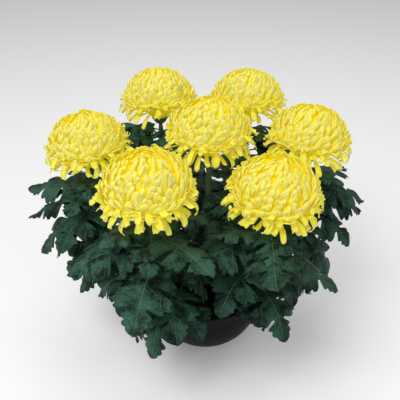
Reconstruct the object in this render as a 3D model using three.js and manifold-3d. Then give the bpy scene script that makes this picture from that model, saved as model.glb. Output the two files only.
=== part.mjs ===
// A pot chrysanthemum: seven leafy stems in a round bowl, each with one large incurved bloom.
// Millimetres, +Z up. The origin is the middle of the bowl's base, on the surface it stands on.
import * as THREE from "three";
import { mergeVertices } from "three/addons/utils/BufferGeometryUtils.js";
import Module from "manifold-3d";

const wasm = await Module();
wasm.setup();

// ---- Driving dimensions -------------------------------------------------------------------

// The bowl: a flat base, a round belly that is part of a sphere, and a rolled lip.
const BOWL = {
  baseRadius: 56,
  bellyRadius: 116,
  height: 128,
  wall: 3,
  lipWidth: 4,
  lipDepth: 9,
  sides: 30,
};
const DRAIN = { holes: 4, radius: 5, circle: 34 };
const SOIL = { edge: 112, crown: 117, gap: 0.3 };
const HOLE = { depth: 52, gap: 0.3 };

// The seven stems. Heading is in degrees from +X, reach is how far out the bloom stands, height is
// the middle of the bloom's body, lean is how far the bloom tips outwards, and leaves are the
// headings of its leaves, from the lowest to the highest.
const STEMS = [
  {
    name: "left",
    heading: 178,
    reach: 217,
    height: 440,
    lean: 6,
    leaves: [-118, 80, -152, 100, 150, -62, -142, 110, -166, -90, -150, -118, -164, 176],
  },
  {
    name: "back_left",
    heading: 119,
    reach: 197,
    height: 467,
    lean: 5,
    leaves: [100, 130, 30, 170, 90, -160, -60, 120, 60, -20, 178, 150],
  },
  {
    name: "back_right",
    heading: 64,
    reach: 199,
    height: 463,
    lean: 5,
    leaves: [80, 0, 60, 140, 90, 20, -120, 45, 110, -60, 15, -20],
  },
  {
    name: "right",
    heading: 3,
    reach: 188,
    height: 452,
    lean: 6,
    leaves: [-34, 120, -10, -75, 45, -28, 80, -60, -28, 10, 12, 40],
  },
  {
    name: "front_right",
    heading: -58,
    reach: 201,
    height: 441,
    lean: 8,
    leaves: [130, 40, 150, 90, -64, 15, -125, -20, -160, -90],
  },
  {
    name: "front_left",
    heading: -115,
    reach: 217,
    height: 464,
    lean: 8,
    leaves: [-128, -106, 120, 150, -80, 170, 60, -103, -165, -50],
  },
  {
    name: "centre",
    heading: -81,
    reach: 32,
    height: 482,
    lean: 2,
    leaves: [-90, 60, 150, -150, 30, -100, 100, -20, -150, -65, 20, 165],
  },
];
const STEM = { circle: 30, footRadius: 4.5, neckRadius: 3.2, sides: 5, steps: 7, free: 0.16 };
// How a stem bows: its first stretch climbs little and reaches out, its last rises to the bloom.
const BOW = { climb: 0.2, out: 0.35, rise: 0.75 };

// The bloom: tiers of incurved florets over a flat seat, and a skirt of long loose florets that
// hang below. Half sizes are of the bloom's body without the skirt: a high dome over a shallow
// underside, which narrows to the seat. A tier's latitude is that of its florets' roots. It has
// as many florets as the tier below it, or half as many.
const BLOOM = { halfWidth: 71, halfHeight: 56, underside: 22, seat: 19, seatHeight: -42 };
const TIERS = [
  { latitude: -38, florets: 10 },
  { latitude: -16, florets: 10 },
  { latitude: 6, florets: 10 },
  { latitude: 28, florets: 10 },
  { latitude: 50, florets: 5 },
  { latitude: 68, florets: 5 },
];
// The rows of a tier: how far past the roots, in degrees, and at what share of the body's half
// size the florets' ridges and the grooves between them run.
const ROWS = [
  { ridge: [0, 0.8], groove: [0, 0.8] },
  { ridge: [14, 0.99], groove: [12, 0.9] },
  { ridge: [35, 0.98], groove: [22, 0.9] },
];
const SKIRT = {
  florets: 9,
  root: [28, -26],
  stations: [
    [0, 0.6],
    [0.42, 1],
    [0.76, 0.95],
    [1, 0.5],
  ],
  width: 17,
  rise: 3,
  out: 40,
  drop: 9,
  uneven: 11,
};
const CALYX = { radius: 15, depth: 14, gap: 0.3 };

// The leaf: half of its lobed outline, from the stalk to the tip, in shares of the blade's length.
// Each point is [along, aside, rib], where rib is the share of the midrib that its vein leaves from.
const OUTLINE = [
  [0.0, 0.02, 0.0],
  [0.08, 0.26, 0.16],
  [0.28, 0.38, 0.16],
  [0.36, 0.17, 0.38],
  [0.52, 0.37, 0.38],
  [0.68, 0.28, 0.62],
  [0.64, 0.13, 0.62],
  [0.84, 0.17, 0.62],
  [1.0, 0.0, 1.0],
];
const RIB = [0, 0.16, 0.38, 0.62, 1];
const LEAF = {
  longest: 124,
  shortest: 106,
  stalk: 0.22,
  stalkWidth: 3.6,
  stalkDepth: 2.8,
  thickness: 0.9,
  arch: 0.77,
  steps: 60,
};
// How a leaf leaves its stem and where its tip points, in degrees above the horizon, at the lowest
// and at the highest leaf of a stem, and where on the stem those two stand.
const HABIT = {
  riseLow: 35,
  riseHigh: 12,
  tipLow: -74,
  tipHigh: -14,
  lowest: 0.3,
  highest: 0.94,
  crowding: 0.75,
};
// Leaves are bent in steps of so many degrees, up to so many steps, until they hang free.
const BEND = { step: 8, most: 5 };
// Where a leaf feels for its neighbours: rows of [along, aside, points], the stalk's first.
const FEELERS = [
  [-0.2, 0, 1],
  [-0.12, 0, 1],
  [-0.04, 0, 1],
  [0.06, 0.12, 3],
  [0.18, 0.3, 5],
  [0.3, 0.32, 5],
  [0.42, 0.13, 3],
  [0.54, 0.32, 5],
  [0.66, 0.26, 5],
  [0.78, 0.15, 3],
  [0.9, 0, 1],
  [1, 0, 1],
];
const ROOM = {
  leaf: 17,
  sameStem: 10,
  stem: 13,
  floor: 8,
  soil: 6,
  bowlOutside: 9,
  bowlInside: 12,
  bowlAbove: 14,
  bloomRadius: 84,
  bloomAbove: 66,
  bloomBelow: 65,
  neck: 34,
};

// Slivers that joining leaves behind are dropped within this distance.
const SMOOTH = 0.05;

// ---- Small helpers ------------------------------------------------------------------------

const rad = THREE.MathUtils.degToRad;
const mix = THREE.MathUtils.lerp;

// A number from 0 to 1 that depends only on the whole numbers given.
function draw(...keys) {
  let h = 0x811c9dc5;
  for (const key of keys) {
    h = Math.imul(h ^ key, 0x01000193);
    h ^= h >>> 13;
  }
  h = Math.imul(h ^ (h >>> 15), 0x85ebca6b);
  h = Math.imul(h ^ (h >>> 13), 0xc2b2ae35);
  return ((h ^ (h >>> 16)) >>> 0) / 2 ** 32;
}

// The same as a number from -size to size.
const jitter = (size, ...keys) => size * (2 * draw(...keys) - 1);

function geometryOf(points, faces) {
  const flat = points.flatMap((p) => [p.x, p.y, p.z]);
  const geometry = new THREE.BufferGeometry();
  geometry.setAttribute("position", new THREE.Float32BufferAttribute(flat, 3));
  geometry.setIndex(faces.flat());
  return geometry;
}

function solidOf(geometry) {
  const bare = new THREE.BufferGeometry();
  bare.setAttribute("position", geometry.getAttribute("position"));
  bare.setIndex(geometry.index);
  const merged = mergeVertices(bare, 1e-4);
  const mesh = new wasm.Mesh({
    numProp: 3,
    vertProperties: Float32Array.from(merged.getAttribute("position").array),
    triVerts: Uint32Array.from(merged.index.array),
  });
  return new wasm.Manifold(mesh);
}

function geometryFrom(solid) {
  const mesh = solid.getMesh();
  const geometry = new THREE.BufferGeometry();
  const count = mesh.vertProperties.length / mesh.numProp;
  const flat = new Float32Array(count * 3);
  for (let i = 0; i < count; i++) {
    flat.set(mesh.vertProperties.subarray(i * mesh.numProp, i * mesh.numProp + 3), i * 3);
  }
  geometry.setAttribute("position", new THREE.BufferAttribute(flat, 3));
  geometry.setIndex(new THREE.BufferAttribute(mesh.triVerts, 1));
  geometry.computeVertexNormals();
  return geometry;
}

// A closed skin over rings of points, from the bottom up. A ring has as many points as the one
// before it, half or twice as many, or one: a pointed end. Points turn to the left about the axis.
function loft(rings) {
  const starts = [];
  rings.reduce((at, ring) => (starts.push(at), at + ring.length), 0);
  const faces = [];
  for (let i = 0; i + 1 < rings.length; i++) {
    const [below, above] = [rings[i].length, rings[i + 1].length];
    const low = (j) => starts[i] + (j % below);
    const high = (j) => starts[i + 1] + (j % above);
    if (below === 1) {
      for (let j = 0; j < above; j++) faces.push([low(0), high(j + 1), high(j)]);
    } else if (above === 1) {
      for (let j = 0; j < below; j++) faces.push([low(j), low(j + 1), high(0)]);
    } else if (above === below) {
      for (let j = 0; j < below; j++) {
        faces.push([low(j), low(j + 1), high(j)], [low(j + 1), high(j + 1), high(j)]);
      }
    } else if (above === 2 * below) {
      for (let j = 0; j < below; j++) {
        faces.push([low(j), high(2 * j + 1), high(2 * j)]);
        faces.push([low(j), low(j + 1), high(2 * j + 1)]);
        faces.push([low(j + 1), high(2 * j + 2), high(2 * j + 1)]);
      }
    } else {
      for (let j = 0; j < above; j++) {
        faces.push([low(2 * j), low(2 * j + 1), high(j)]);
        faces.push([low(2 * j + 1), high(j + 1), high(j)]);
        faces.push([low(2 * j + 1), low(2 * j + 2), high(j + 1)]);
      }
    }
  }
  for (let j = 1; j + 1 < rings[0].length; j++) faces.push([0, j + 1, j]);
  const last = starts.at(-1);
  for (let j = 1; j + 1 < rings.at(-1).length; j++) faces.push([last, last + j, last + j + 1]);
  return geometryOf(rings.flat(), faces);
}

function lathe(profile, sides) {
  const outline = profile.map(([radius, height]) => new THREE.Vector2(radius, height));
  return new THREE.LatheGeometry(outline, sides).rotateX(Math.PI / 2);
}

const heading = (degrees) => new THREE.Vector3(Math.cos(rad(degrees)), Math.sin(rad(degrees)), 0);
const UP = new THREE.Vector3(0, 0, 1);

// ---- Bowl and soil ------------------------------------------------------------------------

const bellyHeight = Math.sqrt(BOWL.bellyRadius ** 2 - BOWL.baseRadius ** 2);

// The bowl's radius at a height, on a skin that lies `inset` inside the outer one.
function bowlRadius(height, inset = 0) {
  const below = Math.min(height - bellyHeight, 0);
  return Math.sqrt((BOWL.bellyRadius - inset) ** 2 - below ** 2);
}

function bowlSkin(from, to, inset, steps) {
  return Array.from({ length: steps + 1 }, (_, i) => {
    const height = mix(from, to, i / steps);
    return [bowlRadius(height, inset), height];
  });
}

function makeBowl() {
  const { height, wall, lipWidth, lipDepth, bellyRadius, sides } = BOWL;
  const outside = bowlSkin(0, bellyHeight, 0, 5);
  const inside = bowlSkin(wall, bellyHeight, wall, 3).reverse();
  const body = lathe(
    [
      [0, 0],
      ...outside,
      [bellyRadius, height - lipDepth],
      [bellyRadius + lipWidth, height - lipDepth + 1],
      [bellyRadius + lipWidth, height - 1.5],
      [bellyRadius + lipWidth - 1.5, height],
      [bellyRadius - wall, height],
      ...inside,
      [0, wall],
      [0, 0],
    ],
    sides,
  );
  let bowl = solidOf(body);
  for (let i = 0; i < DRAIN.holes; i++) {
    const at = heading((360 * (i + 0.5)) / DRAIN.holes).multiplyScalar(DRAIN.circle);
    const drill = new THREE.CylinderGeometry(DRAIN.radius, DRAIN.radius, 4 * wall, 8);
    bowl = bowl.subtract(solidOf(drill.rotateX(Math.PI / 2).translate(at.x, at.y, 0)));
  }
  return bowl;
}

function makeSoil() {
  const inset = BOWL.wall + SOIL.gap;
  const side = bowlSkin(inset, bellyHeight, inset, 3);
  const edge = bowlRadius(SOIL.edge, inset);
  const body = lathe(
    [
      [0, inset],
      ...side,
      [edge, SOIL.edge],
      [edge * 0.6, mix(SOIL.edge, SOIL.crown, 0.7)],
      [0, SOIL.crown],
      [0, inset],
    ],
    BOWL.sides / 2,
  );
  let soil = solidOf(body);
  const floor = SOIL.edge - HOLE.depth - HOLE.gap;
  for (const stem of STEMS) {
    const drill = [floor, SOIL.crown + 9].map((height) => footRing(stem, height, HOLE.gap));
    soil = soil.subtract(solidOf(loft(drill)));
  }
  return soil;
}

// ---- Stems --------------------------------------------------------------------------------

function footOf(stem) {
  const circle = stem.name === "centre" ? 0 : STEM.circle;
  return heading(stem.heading).multiplyScalar(circle).setZ(SOIL.edge);
}

// The stem's straight foot at a height, `spare` wider all round.
function footRing(stem, height, spare = 0) {
  const centre = footOf(stem).setZ(height);
  return Array.from({ length: STEM.sides }, (_, i) => {
    const out = heading(stem.heading + (360 * (i + 0.5)) / STEM.sides);
    return centre.clone().addScaledVector(out, STEM.footRadius + 1.3 * spare);
  });
}

// Where the bloom's frame stands: its middle, and the direction that its top points in.
function bloomFrame(stem) {
  const out = heading(stem.heading);
  const middle = out.clone().multiplyScalar(stem.reach).setZ(stem.height);
  const top = UP.clone().multiplyScalar(Math.cos(rad(stem.lean)));
  top.addScaledVector(out, Math.sin(rad(stem.lean)));
  const aside = new THREE.Vector3().crossVectors(top, out).normalize();
  const ahead = new THREE.Vector3().crossVectors(aside, top);
  return new THREE.Matrix4().makeBasis(ahead, aside, top).setPosition(middle);
}

// The stem's curve, from the soil to the underside of its bloom.
function stemCurve(stem) {
  const foot = footOf(stem);
  const frame = bloomFrame(stem);
  const neck = new THREE.Vector3(0, 0, BLOOM.seatHeight - CALYX.gap - CALYX.depth).applyMatrix4(frame);
  const top = new THREE.Vector3().setFromMatrixColumn(frame, 2);
  const out = heading(stem.heading);
  const lift = neck.z - foot.z;
  const bowed = foot.clone().addScaledVector(UP, lift * BOW.climb);
  return new THREE.CubicBezierCurve3(
    foot,
    bowed.addScaledVector(out, stem.reach * BOW.out),
    neck.clone().addScaledVector(top, -lift * BOW.rise),
    neck,
  );
}

function makeStem(stem) {
  const curve = stemCurve(stem);
  const rings = [footRing(stem, SOIL.edge - HOLE.depth), footRing(stem, SOIL.crown + 3)];
  for (let i = 0; i <= STEM.steps; i++) {
    const t = mix(STEM.free, 1, i / STEM.steps);
    const radius = mix(STEM.footRadius, STEM.neckRadius, t);
    rings.push(alignedRing(curve.getPoint(t), curve.getTangent(t), radius, rings.at(-1)));
  }
  const frame = bloomFrame(stem);
  const top = new THREE.Vector3().setFromMatrixColumn(frame, 2);
  const cup = new THREE.Vector3(0, 0, BLOOM.seatHeight - CALYX.gap).applyMatrix4(frame);
  const shoulder = cup.clone().addScaledVector(top, -CALYX.depth / 2);
  rings.push(alignedRing(shoulder, top, CALYX.radius * 0.85, rings.at(-1)));
  rings.push(alignedRing(cup, top, CALYX.radius, rings.at(-1)));
  return solidOf(loft(rings));
}

// A ring whose corners stand as the ring before it does, so that the skin between doesn't twist.
function alignedRing(centre, along, radius, before) {
  const middle = before.reduce((sum, p) => sum.add(p), new THREE.Vector3());
  middle.divideScalar(before.length);
  const across = before[0].clone().sub(middle);
  across.addScaledVector(along, -across.dot(along)).normalize();
  const side = new THREE.Vector3().crossVectors(along, across);
  return Array.from({ length: before.length }, (_, i) => {
    const angle = (2 * Math.PI * i) / before.length;
    return centre
      .clone()
      .addScaledVector(across, radius * Math.cos(angle))
      .addScaledVector(side, radius * Math.sin(angle));
  });
}

// ---- Leaves -------------------------------------------------------------------------------

// A leaf's place and habit, with a bend of [lift, turn] degrees.
function leafPlan(stemIndex, leafIndex, [lift, turn]) {
  const { leaves } = STEMS[stemIndex];
  const share = leafIndex / (leaves.length - 1);
  const fullness = Math.sqrt(Math.max(Math.sin(Math.PI * mix(0.3, 0.88, share)), 0));
  const vary = (size, trait) => jitter(size, stemIndex, leafIndex, trait);
  return {
    at: mix(HABIT.lowest, HABIT.highest, share ** HABIT.crowding),
    heading: leaves[leafIndex] + turn,
    length: mix(LEAF.shortest, LEAF.longest, fullness) * (1 + vary(0.07, 2)),
    rise: mix(HABIT.riseLow, HABIT.riseHigh, share) + vary(9, 3) + lift,
    tip: mix(HABIT.tipLow, HABIT.tipHigh, share ** 3) + vary(14, 4) + lift,
    roll: vary(14, 5),
  };
}

// The leaf's surface: a function from [along, aside], in shares of the blade's length, to a point
// and its normal. The midrib lies in an upright plane, where its slope falls smoothly from the rise
// at the stem to the tip's. The stalk is the stretch before along = 0.
function leafSurface(root, plan) {
  const stalk = plan.length * LEAF.stalk;
  const whole = stalk + plan.length;
  const out = heading(plan.heading);
  const flat = new THREE.Vector3().crossVectors(UP, out);
  const track = [[0, 0]];
  const slopeAt = (i) => {
    const share = i / LEAF.steps;
    return rad(mix(plan.rise, plan.tip, share * share * (3 - 2 * share)));
  };
  for (let i = 0; i < LEAF.steps; i++) {
    const [run, climb] = track[i];
    const step = whole / LEAF.steps;
    track.push([run + Math.cos(slopeAt(i)) * step, climb + Math.sin(slopeAt(i)) * step]);
  }
  return (along, aside) => {
    const place = ((along * plan.length + stalk) / whole) * LEAF.steps;
    const i = Math.min(Math.max(Math.floor(place), 0), LEAF.steps - 1);
    const run = mix(track[i][0], track[i + 1][0], place - i);
    const climb = mix(track[i][1], track[i + 1][1], place - i);
    const slope = mix(slopeAt(i), slopeAt(i + 1), place - i);
    const axis = out.clone().multiplyScalar(Math.cos(slope)).addScaledVector(UP, Math.sin(slope));
    const across = flat.clone().applyAxisAngle(axis, rad(plan.roll));
    const normal = new THREE.Vector3().crossVectors(axis, across);
    const wide = aside * plan.length;
    const point = root.clone().addScaledVector(out, run).addScaledVector(UP, climb);
    point.addScaledVector(across, wide);
    point.addScaledVector(normal, -LEAF.arch * wide * aside);
    return { point, normal };
  };
}

// One thin arched solid for the stalk and the lobed blade, split alike on both of its faces.
function makeLeaf(surface, length) {
  const points = [];
  const put = (along, aside, depth) => {
    const { point, normal } = surface(along, aside);
    points.push(point.clone().addScaledVector(normal, depth / 2));
    points.push(point.clone().addScaledVector(normal, -depth / 2));
    return points.length / 2 - 1;
  };
  const halfStalk = LEAF.stalkWidth / 2 / length;
  const foot = [halfStalk, 0, -halfStalk].map((aside) => put(-LEAF.stalk, aside, LEAF.stalkDepth));
  const ribs = RIB.map((along) => put(along, 0, LEAF.thickness));
  const edges = [1, -1].map((side) => [
    ...OUTLINE.slice(0, -1).map(([along, aside]) => put(along, side * aside, LEAF.thickness)),
    ribs.at(-1),
  ]);
  const ribOf = OUTLINE.map(([, , along]) => ribs[RIB.indexOf(along)]);
  const skin = [];
  const rim = [[foot[1], foot[2]], [foot[0], foot[1]]];
  edges.forEach((edge, right) => {
    const add = (a, b, c) => new Set([a, b, c]).size === 3 && skin.push(right ? [a, c, b] : [a, b, c]);
    const close = (a, b) => rim.push(right ? [a, b] : [b, a]);
    const side = right ? 2 : 0;
    add(foot[1], ribs[0], edge[0]);
    add(foot[1], edge[0], foot[side]);
    close(foot[side], edge[0]);
    for (let i = 0; i + 1 < edge.length; i++) {
      add(ribOf[i], edge[i + 1], edge[i]);
      add(ribOf[i], ribOf[i + 1], edge[i + 1]);
      close(edge[i], edge[i + 1]);
    }
  });
  const faces = skin.flatMap(([a, b, c]) => [
    [2 * a, 2 * b, 2 * c],
    [2 * a + 1, 2 * c + 1, 2 * b + 1],
  ]);
  for (const [a, b] of rim) {
    faces.push([2 * a, 2 * a + 1, 2 * b], [2 * a + 1, 2 * b + 1, 2 * b]);
  }
  return solidOf(geometryOf(points, faces));
}

// Bends to try, the smallest first: [lift, turn] in degrees, round growing squares.
function bends() {
  const list = [];
  for (let most = 0; most <= BEND.most; most++) {
    for (let i = -most; i <= most; i++) {
      for (let j = -most; j <= most; j++) {
        if (Math.max(Math.abs(i), Math.abs(j)) === most) list.push([i * BEND.step, j * BEND.step]);
      }
    }
  }
  return list;
}

function feelersOf(surface) {
  return FEELERS.flatMap(([along, aside, count]) =>
    Array.from({ length: count }, (_, i) => {
      const share = count === 1 ? 0 : mix(-1, 1, i / (count - 1));
      return surface(along, aside * share).point;
    }),
  );
}

// Whether a point keeps off the floor, the bowl, the soil and the blooms. `owner` is its stem.
function isFree(point, owner) {
  const radius = Math.hypot(point.x, point.y);
  const { height, bellyRadius, lipWidth, lipDepth } = BOWL;
  if (point.z < ROOM.floor) return false;
  if (point.z < height + ROOM.bowlAbove) {
    const lip = point.z > height - lipDepth - 3;
    const wall = lip ? bellyRadius + lipWidth : bowlRadius(Math.min(point.z, height));
    if (radius > wall - ROOM.bowlInside && radius < wall + ROOM.bowlOutside) return false;
    if (radius <= wall - ROOM.bowlInside && point.z < SOIL.crown + ROOM.soil) return false;
  }
  return STEMS.every((stem, i) => {
    const local = point.clone().applyMatrix4(bloomFrame(stem).invert());
    const off = Math.hypot(local.x, local.y);
    if (off > ROOM.bloomRadius || local.z < -ROOM.bloomBelow || local.z > ROOM.bloomAbove) return true;
    return i === owner && off < ROOM.neck;
  });
}

// Plans every leaf, the highest first, each with the smallest bend that lets it hang free of the
// leaves, stems and blooms around it. A leaf that finds no room is left out.
function planLeaves() {
  const curves = STEMS.map(stemCurve);
  const rods = curves.map((curve) => curve.getPoints(39));
  const order = STEMS.flatMap(({ leaves }, stem) => leaves.map((_, leaf) => [stem, leaf]));
  order.sort((a, b) => b[1] - a[1] || a[0] - b[0]);
  const near = (points, others, room) =>
    points.some((p) => others.some((q) => p.distanceToSquared(q) < room * room));
  const grown = [];
  for (const [stem, leaf] of order) {
    bends().some((bend) => {
      const plan = leafPlan(stem, leaf, bend);
      const surface = leafSurface(curves[stem].getPoint(plan.at), plan);
      const feelers = feelersOf(surface);
      const free =
        feelers.every((point) => isFree(point, stem)) &&
        rods.every((rod, i) => i === stem || !near(feelers, rod, ROOM.stem)) &&
        grown.every((other) => {
          if (other.stem !== stem) return !near(feelers, other.feelers, ROOM.leaf);
          return !near(feelers.slice(3), other.feelers, ROOM.sameStem);
        });
      if (free) grown.push({ stem, plan, surface, feelers });
      return free;
    });
  }
  return grown;
}

// ---- Blooms -------------------------------------------------------------------------------

// A point of the bloom at a latitude and azimuth, `share` of the way out to its body's skin.
function bloomPoint(latitude, azimuth, share) {
  const wide = BLOOM.halfWidth * share * Math.cos(rad(latitude));
  const half = latitude < 0 ? BLOOM.underside : BLOOM.halfHeight;
  const high = half * share * Math.sin(rad(latitude));
  const out = heading(azimuth);
  return new THREE.Vector3(out.x * wide, out.y * wide, high);
}

// The florets' skin as rings of points, from the seat to the pole. Each floret's tip leans over the
// roots of the tier above it, whose florets stand in the gaps of its own.
function bodyRings(stemIndex) {
  const columns = 2 * TIERS[0].florets;
  const seat = Array.from({ length: columns / 2 }, (_, i) => {
    const corner = heading((720 / columns) * i).multiplyScalar(BLOOM.seat);
    return corner.setZ(BLOOM.seatHeight);
  });
  const rings = [[new THREE.Vector3(0, 0, BLOOM.seatHeight)], seat];
  TIERS.forEach(({ latitude, florets }, tier) => {
    const step = 180 / florets;
    ROWS.forEach(({ ridge, groove }, row) => {
      const ring = Array.from({ length: 2 * florets }, (_, i) => {
        const vary = (size, trait) => (row ? jitter(size, stemIndex, 100 + tier, i, row, trait) : 0);
        const onRidge = i % 2 === tier % 2;
        const [past, share] = onRidge ? ridge : groove;
        const azimuth = step * i + vary(step * 0.12, 1);
        return bloomPoint(Math.min(latitude + past + vary(2, 2), 87), azimuth, share + vary(0.012, 3));
      });
      rings.push(ring);
    });
  });
  rings.push([bloomPoint(90, 0, 0.9)]);
  return rings;
}

// A long loose floret of the skirt: it leaves the body low, bows out and hangs down.
function makeSkirtFloret(azimuth, vary) {
  const out = heading(azimuth + vary(6, 1));
  const drop = SKIRT.drop + vary(SKIRT.uneven, 2);
  const reach = SKIRT.out + vary(5, 3);
  const [radius, height] = SKIRT.root;
  const root = heading(azimuth).multiplyScalar(radius).setZ(height);
  const to = (away, down) => root.clone().addScaledVector(out, away).addScaledVector(UP, -down);
  const curve = new THREE.CubicBezierCurve3(
    to(0, 0),
    to(reach * 0.8, -6),
    to(reach * 1.15, drop * 0.5),
    to(reach + vary(8, 4), drop),
  );
  const aside = new THREE.Vector3().crossVectors(UP, out).normalize();
  const rings = SKIRT.stations.map(([t, wide]) => {
    const middle = curve.getPoint(t);
    const face = new THREE.Vector3().crossVectors(curve.getTangent(t), aside);
    return [
      middle.clone().addScaledVector(aside, (-SKIRT.width * wide) / 2),
      middle.clone().addScaledVector(aside, (SKIRT.width * wide) / 2),
      middle.clone().addScaledVector(face, SKIRT.rise),
    ];
  });
  return solidOf(loft(rings));
}

function makeBloom(stemIndex) {
  let bloom = solidOf(loft(bodyRings(stemIndex)));
  const spread = 360 / SKIRT.florets;
  for (let i = 0; i < SKIRT.florets; i++) {
    const vary = (size, trait) => jitter(size, stemIndex, 200, i, trait);
    const azimuth = spread * i + stemIndex * 31 + vary(spread * 0.2, 0);
    bloom = bloom.add(makeSkirtFloret(azimuth, vary));
  }
  return bloom.simplify(SMOOTH).transform(bloomFrame(STEMS[stemIndex]).elements);
}

// ---- The plant ----------------------------------------------------------------------------

const FINISH = {
  bowl: { color: 0x1b1b1d, roughness: 0.55, metalness: 0 },
  soil: { color: 0x2b2019, roughness: 0.95, metalness: 0 },
  leaf: { color: 0x24453a, roughness: 0.6, metalness: 0 },
  petal: { color: 0xf4df3a, roughness: 0.5, metalness: 0 },
};

const plant = new THREE.Group();

function show(name, solid, finish) {
  const mesh = new THREE.Mesh(geometryFrom(solid), new THREE.MeshStandardMaterial(FINISH[finish]));
  mesh.name = name;
  plant.add(mesh);
}

show("bowl", makeBowl(), "bowl");
show("soil", makeSoil(), "soil");
const leaves = planLeaves();
STEMS.forEach((stem, i) => {
  const own = leaves.filter((leaf) => leaf.stem === i);
  const grow = (solid, { surface, plan }) => solid.add(makeLeaf(surface, plan.length));
  show(`stem_${stem.name}`, own.reduce(grow, makeStem(stem)).simplify(SMOOTH), "leaf");
  show(`bloom_${stem.name}`, makeBloom(i), "petal");
});

export default plant;
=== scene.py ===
"""Dresses a pot chrysanthemum: seven leafy stems in a black bowl, each under one incurved bloom.

Lengths are in millimetres and angles in degrees until a mesh is made, which is in metres. The
large leaves and each bloom's first row of hanging florets follow the same rules and the same draws
as the solids that the pieces stand for, so each of them lies where its solid does. The small
leaves between them and the other florets are the scene's own.
"""

from __future__ import annotations

import logging
from dataclasses import dataclass, field
from enum import Enum

import bpy
import numpy as np
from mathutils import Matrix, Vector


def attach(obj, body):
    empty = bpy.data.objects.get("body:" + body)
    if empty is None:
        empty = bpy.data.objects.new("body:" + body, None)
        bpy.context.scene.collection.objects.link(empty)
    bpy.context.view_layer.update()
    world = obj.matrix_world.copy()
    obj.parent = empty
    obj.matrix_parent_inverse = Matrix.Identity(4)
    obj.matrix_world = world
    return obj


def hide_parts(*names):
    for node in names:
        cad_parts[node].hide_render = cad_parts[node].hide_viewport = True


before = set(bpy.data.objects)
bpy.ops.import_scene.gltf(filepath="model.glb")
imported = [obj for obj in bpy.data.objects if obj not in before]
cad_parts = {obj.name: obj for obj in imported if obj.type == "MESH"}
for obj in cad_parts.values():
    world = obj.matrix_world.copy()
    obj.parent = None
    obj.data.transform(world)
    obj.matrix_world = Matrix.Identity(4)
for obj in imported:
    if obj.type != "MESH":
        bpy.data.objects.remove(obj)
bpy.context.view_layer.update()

LOG = logging.getLogger("chrysanthemum")
MM = 0.001
UP = np.array([0.0, 0.0, 1.0])
GOLDEN_ANGLE = 137.508

Array = np.ndarray
Pair = tuple[float, float]
Colour = tuple[float, float, float]
Inputs = dict[str | int, object]
Material = bpy.types.Material
Mesh = bpy.types.Mesh
Node = bpy.types.Node
Piece = bpy.types.Object
Socket = bpy.types.NodeSocket
Tree = bpy.types.NodeTree


# ---- Numbers ----------------------------------------------------------------------------------


def draw(*keys: int) -> float:
    """A number from 0 to 1 that depends only on the whole numbers given.

    Each key is folded into 32 bits by a product and a shift, and the result is stirred at the end.

    Args:
        keys: The whole numbers.

    Returns:
        The number.
    """
    mask = 0xFFFFFFFF
    h = 0x811C9DC5
    for key in keys:
        h = ((h ^ key) * 0x01000193) & mask
        h ^= h >> 13
    h = ((h ^ (h >> 15)) * 0x85EBCA6B) & mask
    h = ((h ^ (h >> 13)) * 0xC2B2AE35) & mask
    return ((h ^ (h >> 16)) & mask) / 2**32


def jitter(size: float, *keys: int) -> float:
    """The same as a number from -size to size."""
    return size * (2 * draw(*keys) - 1)


def mix(a: Array | float, b: Array | float, share: Array | float) -> Array | float:
    """The value at a share of the way from a to b."""
    return a + (b - a) * share


def smooth(value: Array | float, start: float = 0, end: float = 1) -> Array | float:
    """An S-shaped rise from 0 to 1 as value goes from start to end, flat beyond both."""
    held = np.clip((value - start) / (end - start), 0, 1)
    return held * held * (3 - 2 * held)


def unit(vectors: Array) -> Array:
    """The vectors at length one."""
    return vectors / np.maximum(np.linalg.norm(vectors, axis=-1, keepdims=True), 1e-9)


def square_to(axes: Array, vectors: Array) -> Array:
    """The parts of vectors that are square to unit axes, at length one."""
    return unit(vectors - axes * (vectors * axes).sum(-1, keepdims=True))


def heading(degrees: Array | float) -> Array:
    """Level unit vectors at angles from +X."""
    angle = np.radians(degrees)
    return np.stack([np.cos(angle), np.sin(angle), np.zeros_like(angle)], -1)


def turned(vectors: Array, axes: Array, degrees: Array | float) -> Array:
    """Vectors turned about unit axes that they stand square to: v cos(a) + (axis x v) sin(a).

    Args:
        vectors: The vectors.
        axes: A unit axis for each, or one for all.
        degrees: How far each turns, by the right-hand rule.

    Returns:
        The turned vectors.
    """
    angle = np.radians(degrees)
    angle = angle[..., None] if np.ndim(angle) else angle
    return vectors * np.cos(angle) + np.cross(axes, vectors) * np.sin(angle)


def bezier(corners: Array, at: Array) -> Array:
    """Points on cubic Bezier curves.

    Args:
        corners: Control points, shaped (..., 4, 3).
        at: Places on the curve from 0 to 1, shaped (rows,).

    Returns:
        Points, shaped (..., rows, 3): the four control points weighted by (1-t)^3, 3t(1-t)^2,
        3t^2(1-t) and t^3.
    """
    back = 1 - at
    weights = np.stack([back**3, 3 * at * back**2, 3 * at**2 * back, at**3], -1)
    return np.einsum("rk,...kx->...rx", weights, corners)


def spline(knots: Array, steps: int) -> Array:
    """A Catmull-Rom curve: cubic from knot to knot, with slopes set by the knots on both sides.

    Args:
        knots: Points that the curve runs through, shaped (knots, axes).
        steps: How many steps there are from each knot to the next.

    Returns:
        Points of the curve, with the last knot at its end.
    """
    ends = np.concatenate([knots[:1], knots, knots[-1:]])
    a, b, c, d = ends[:-3], ends[1:-2], ends[2:-1], ends[3:]
    t = (np.arange(steps) / steps)[:, None, None]
    bent = 2 * b + (c - a) * t + (2 * a - 5 * b + 4 * c - d) * t**2
    bent = (bent + (3 * b - a - 3 * c + d) * t**3) / 2
    return np.concatenate([bent.transpose(1, 0, 2).reshape(-1, knots.shape[1]), knots[-1:]])


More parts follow.
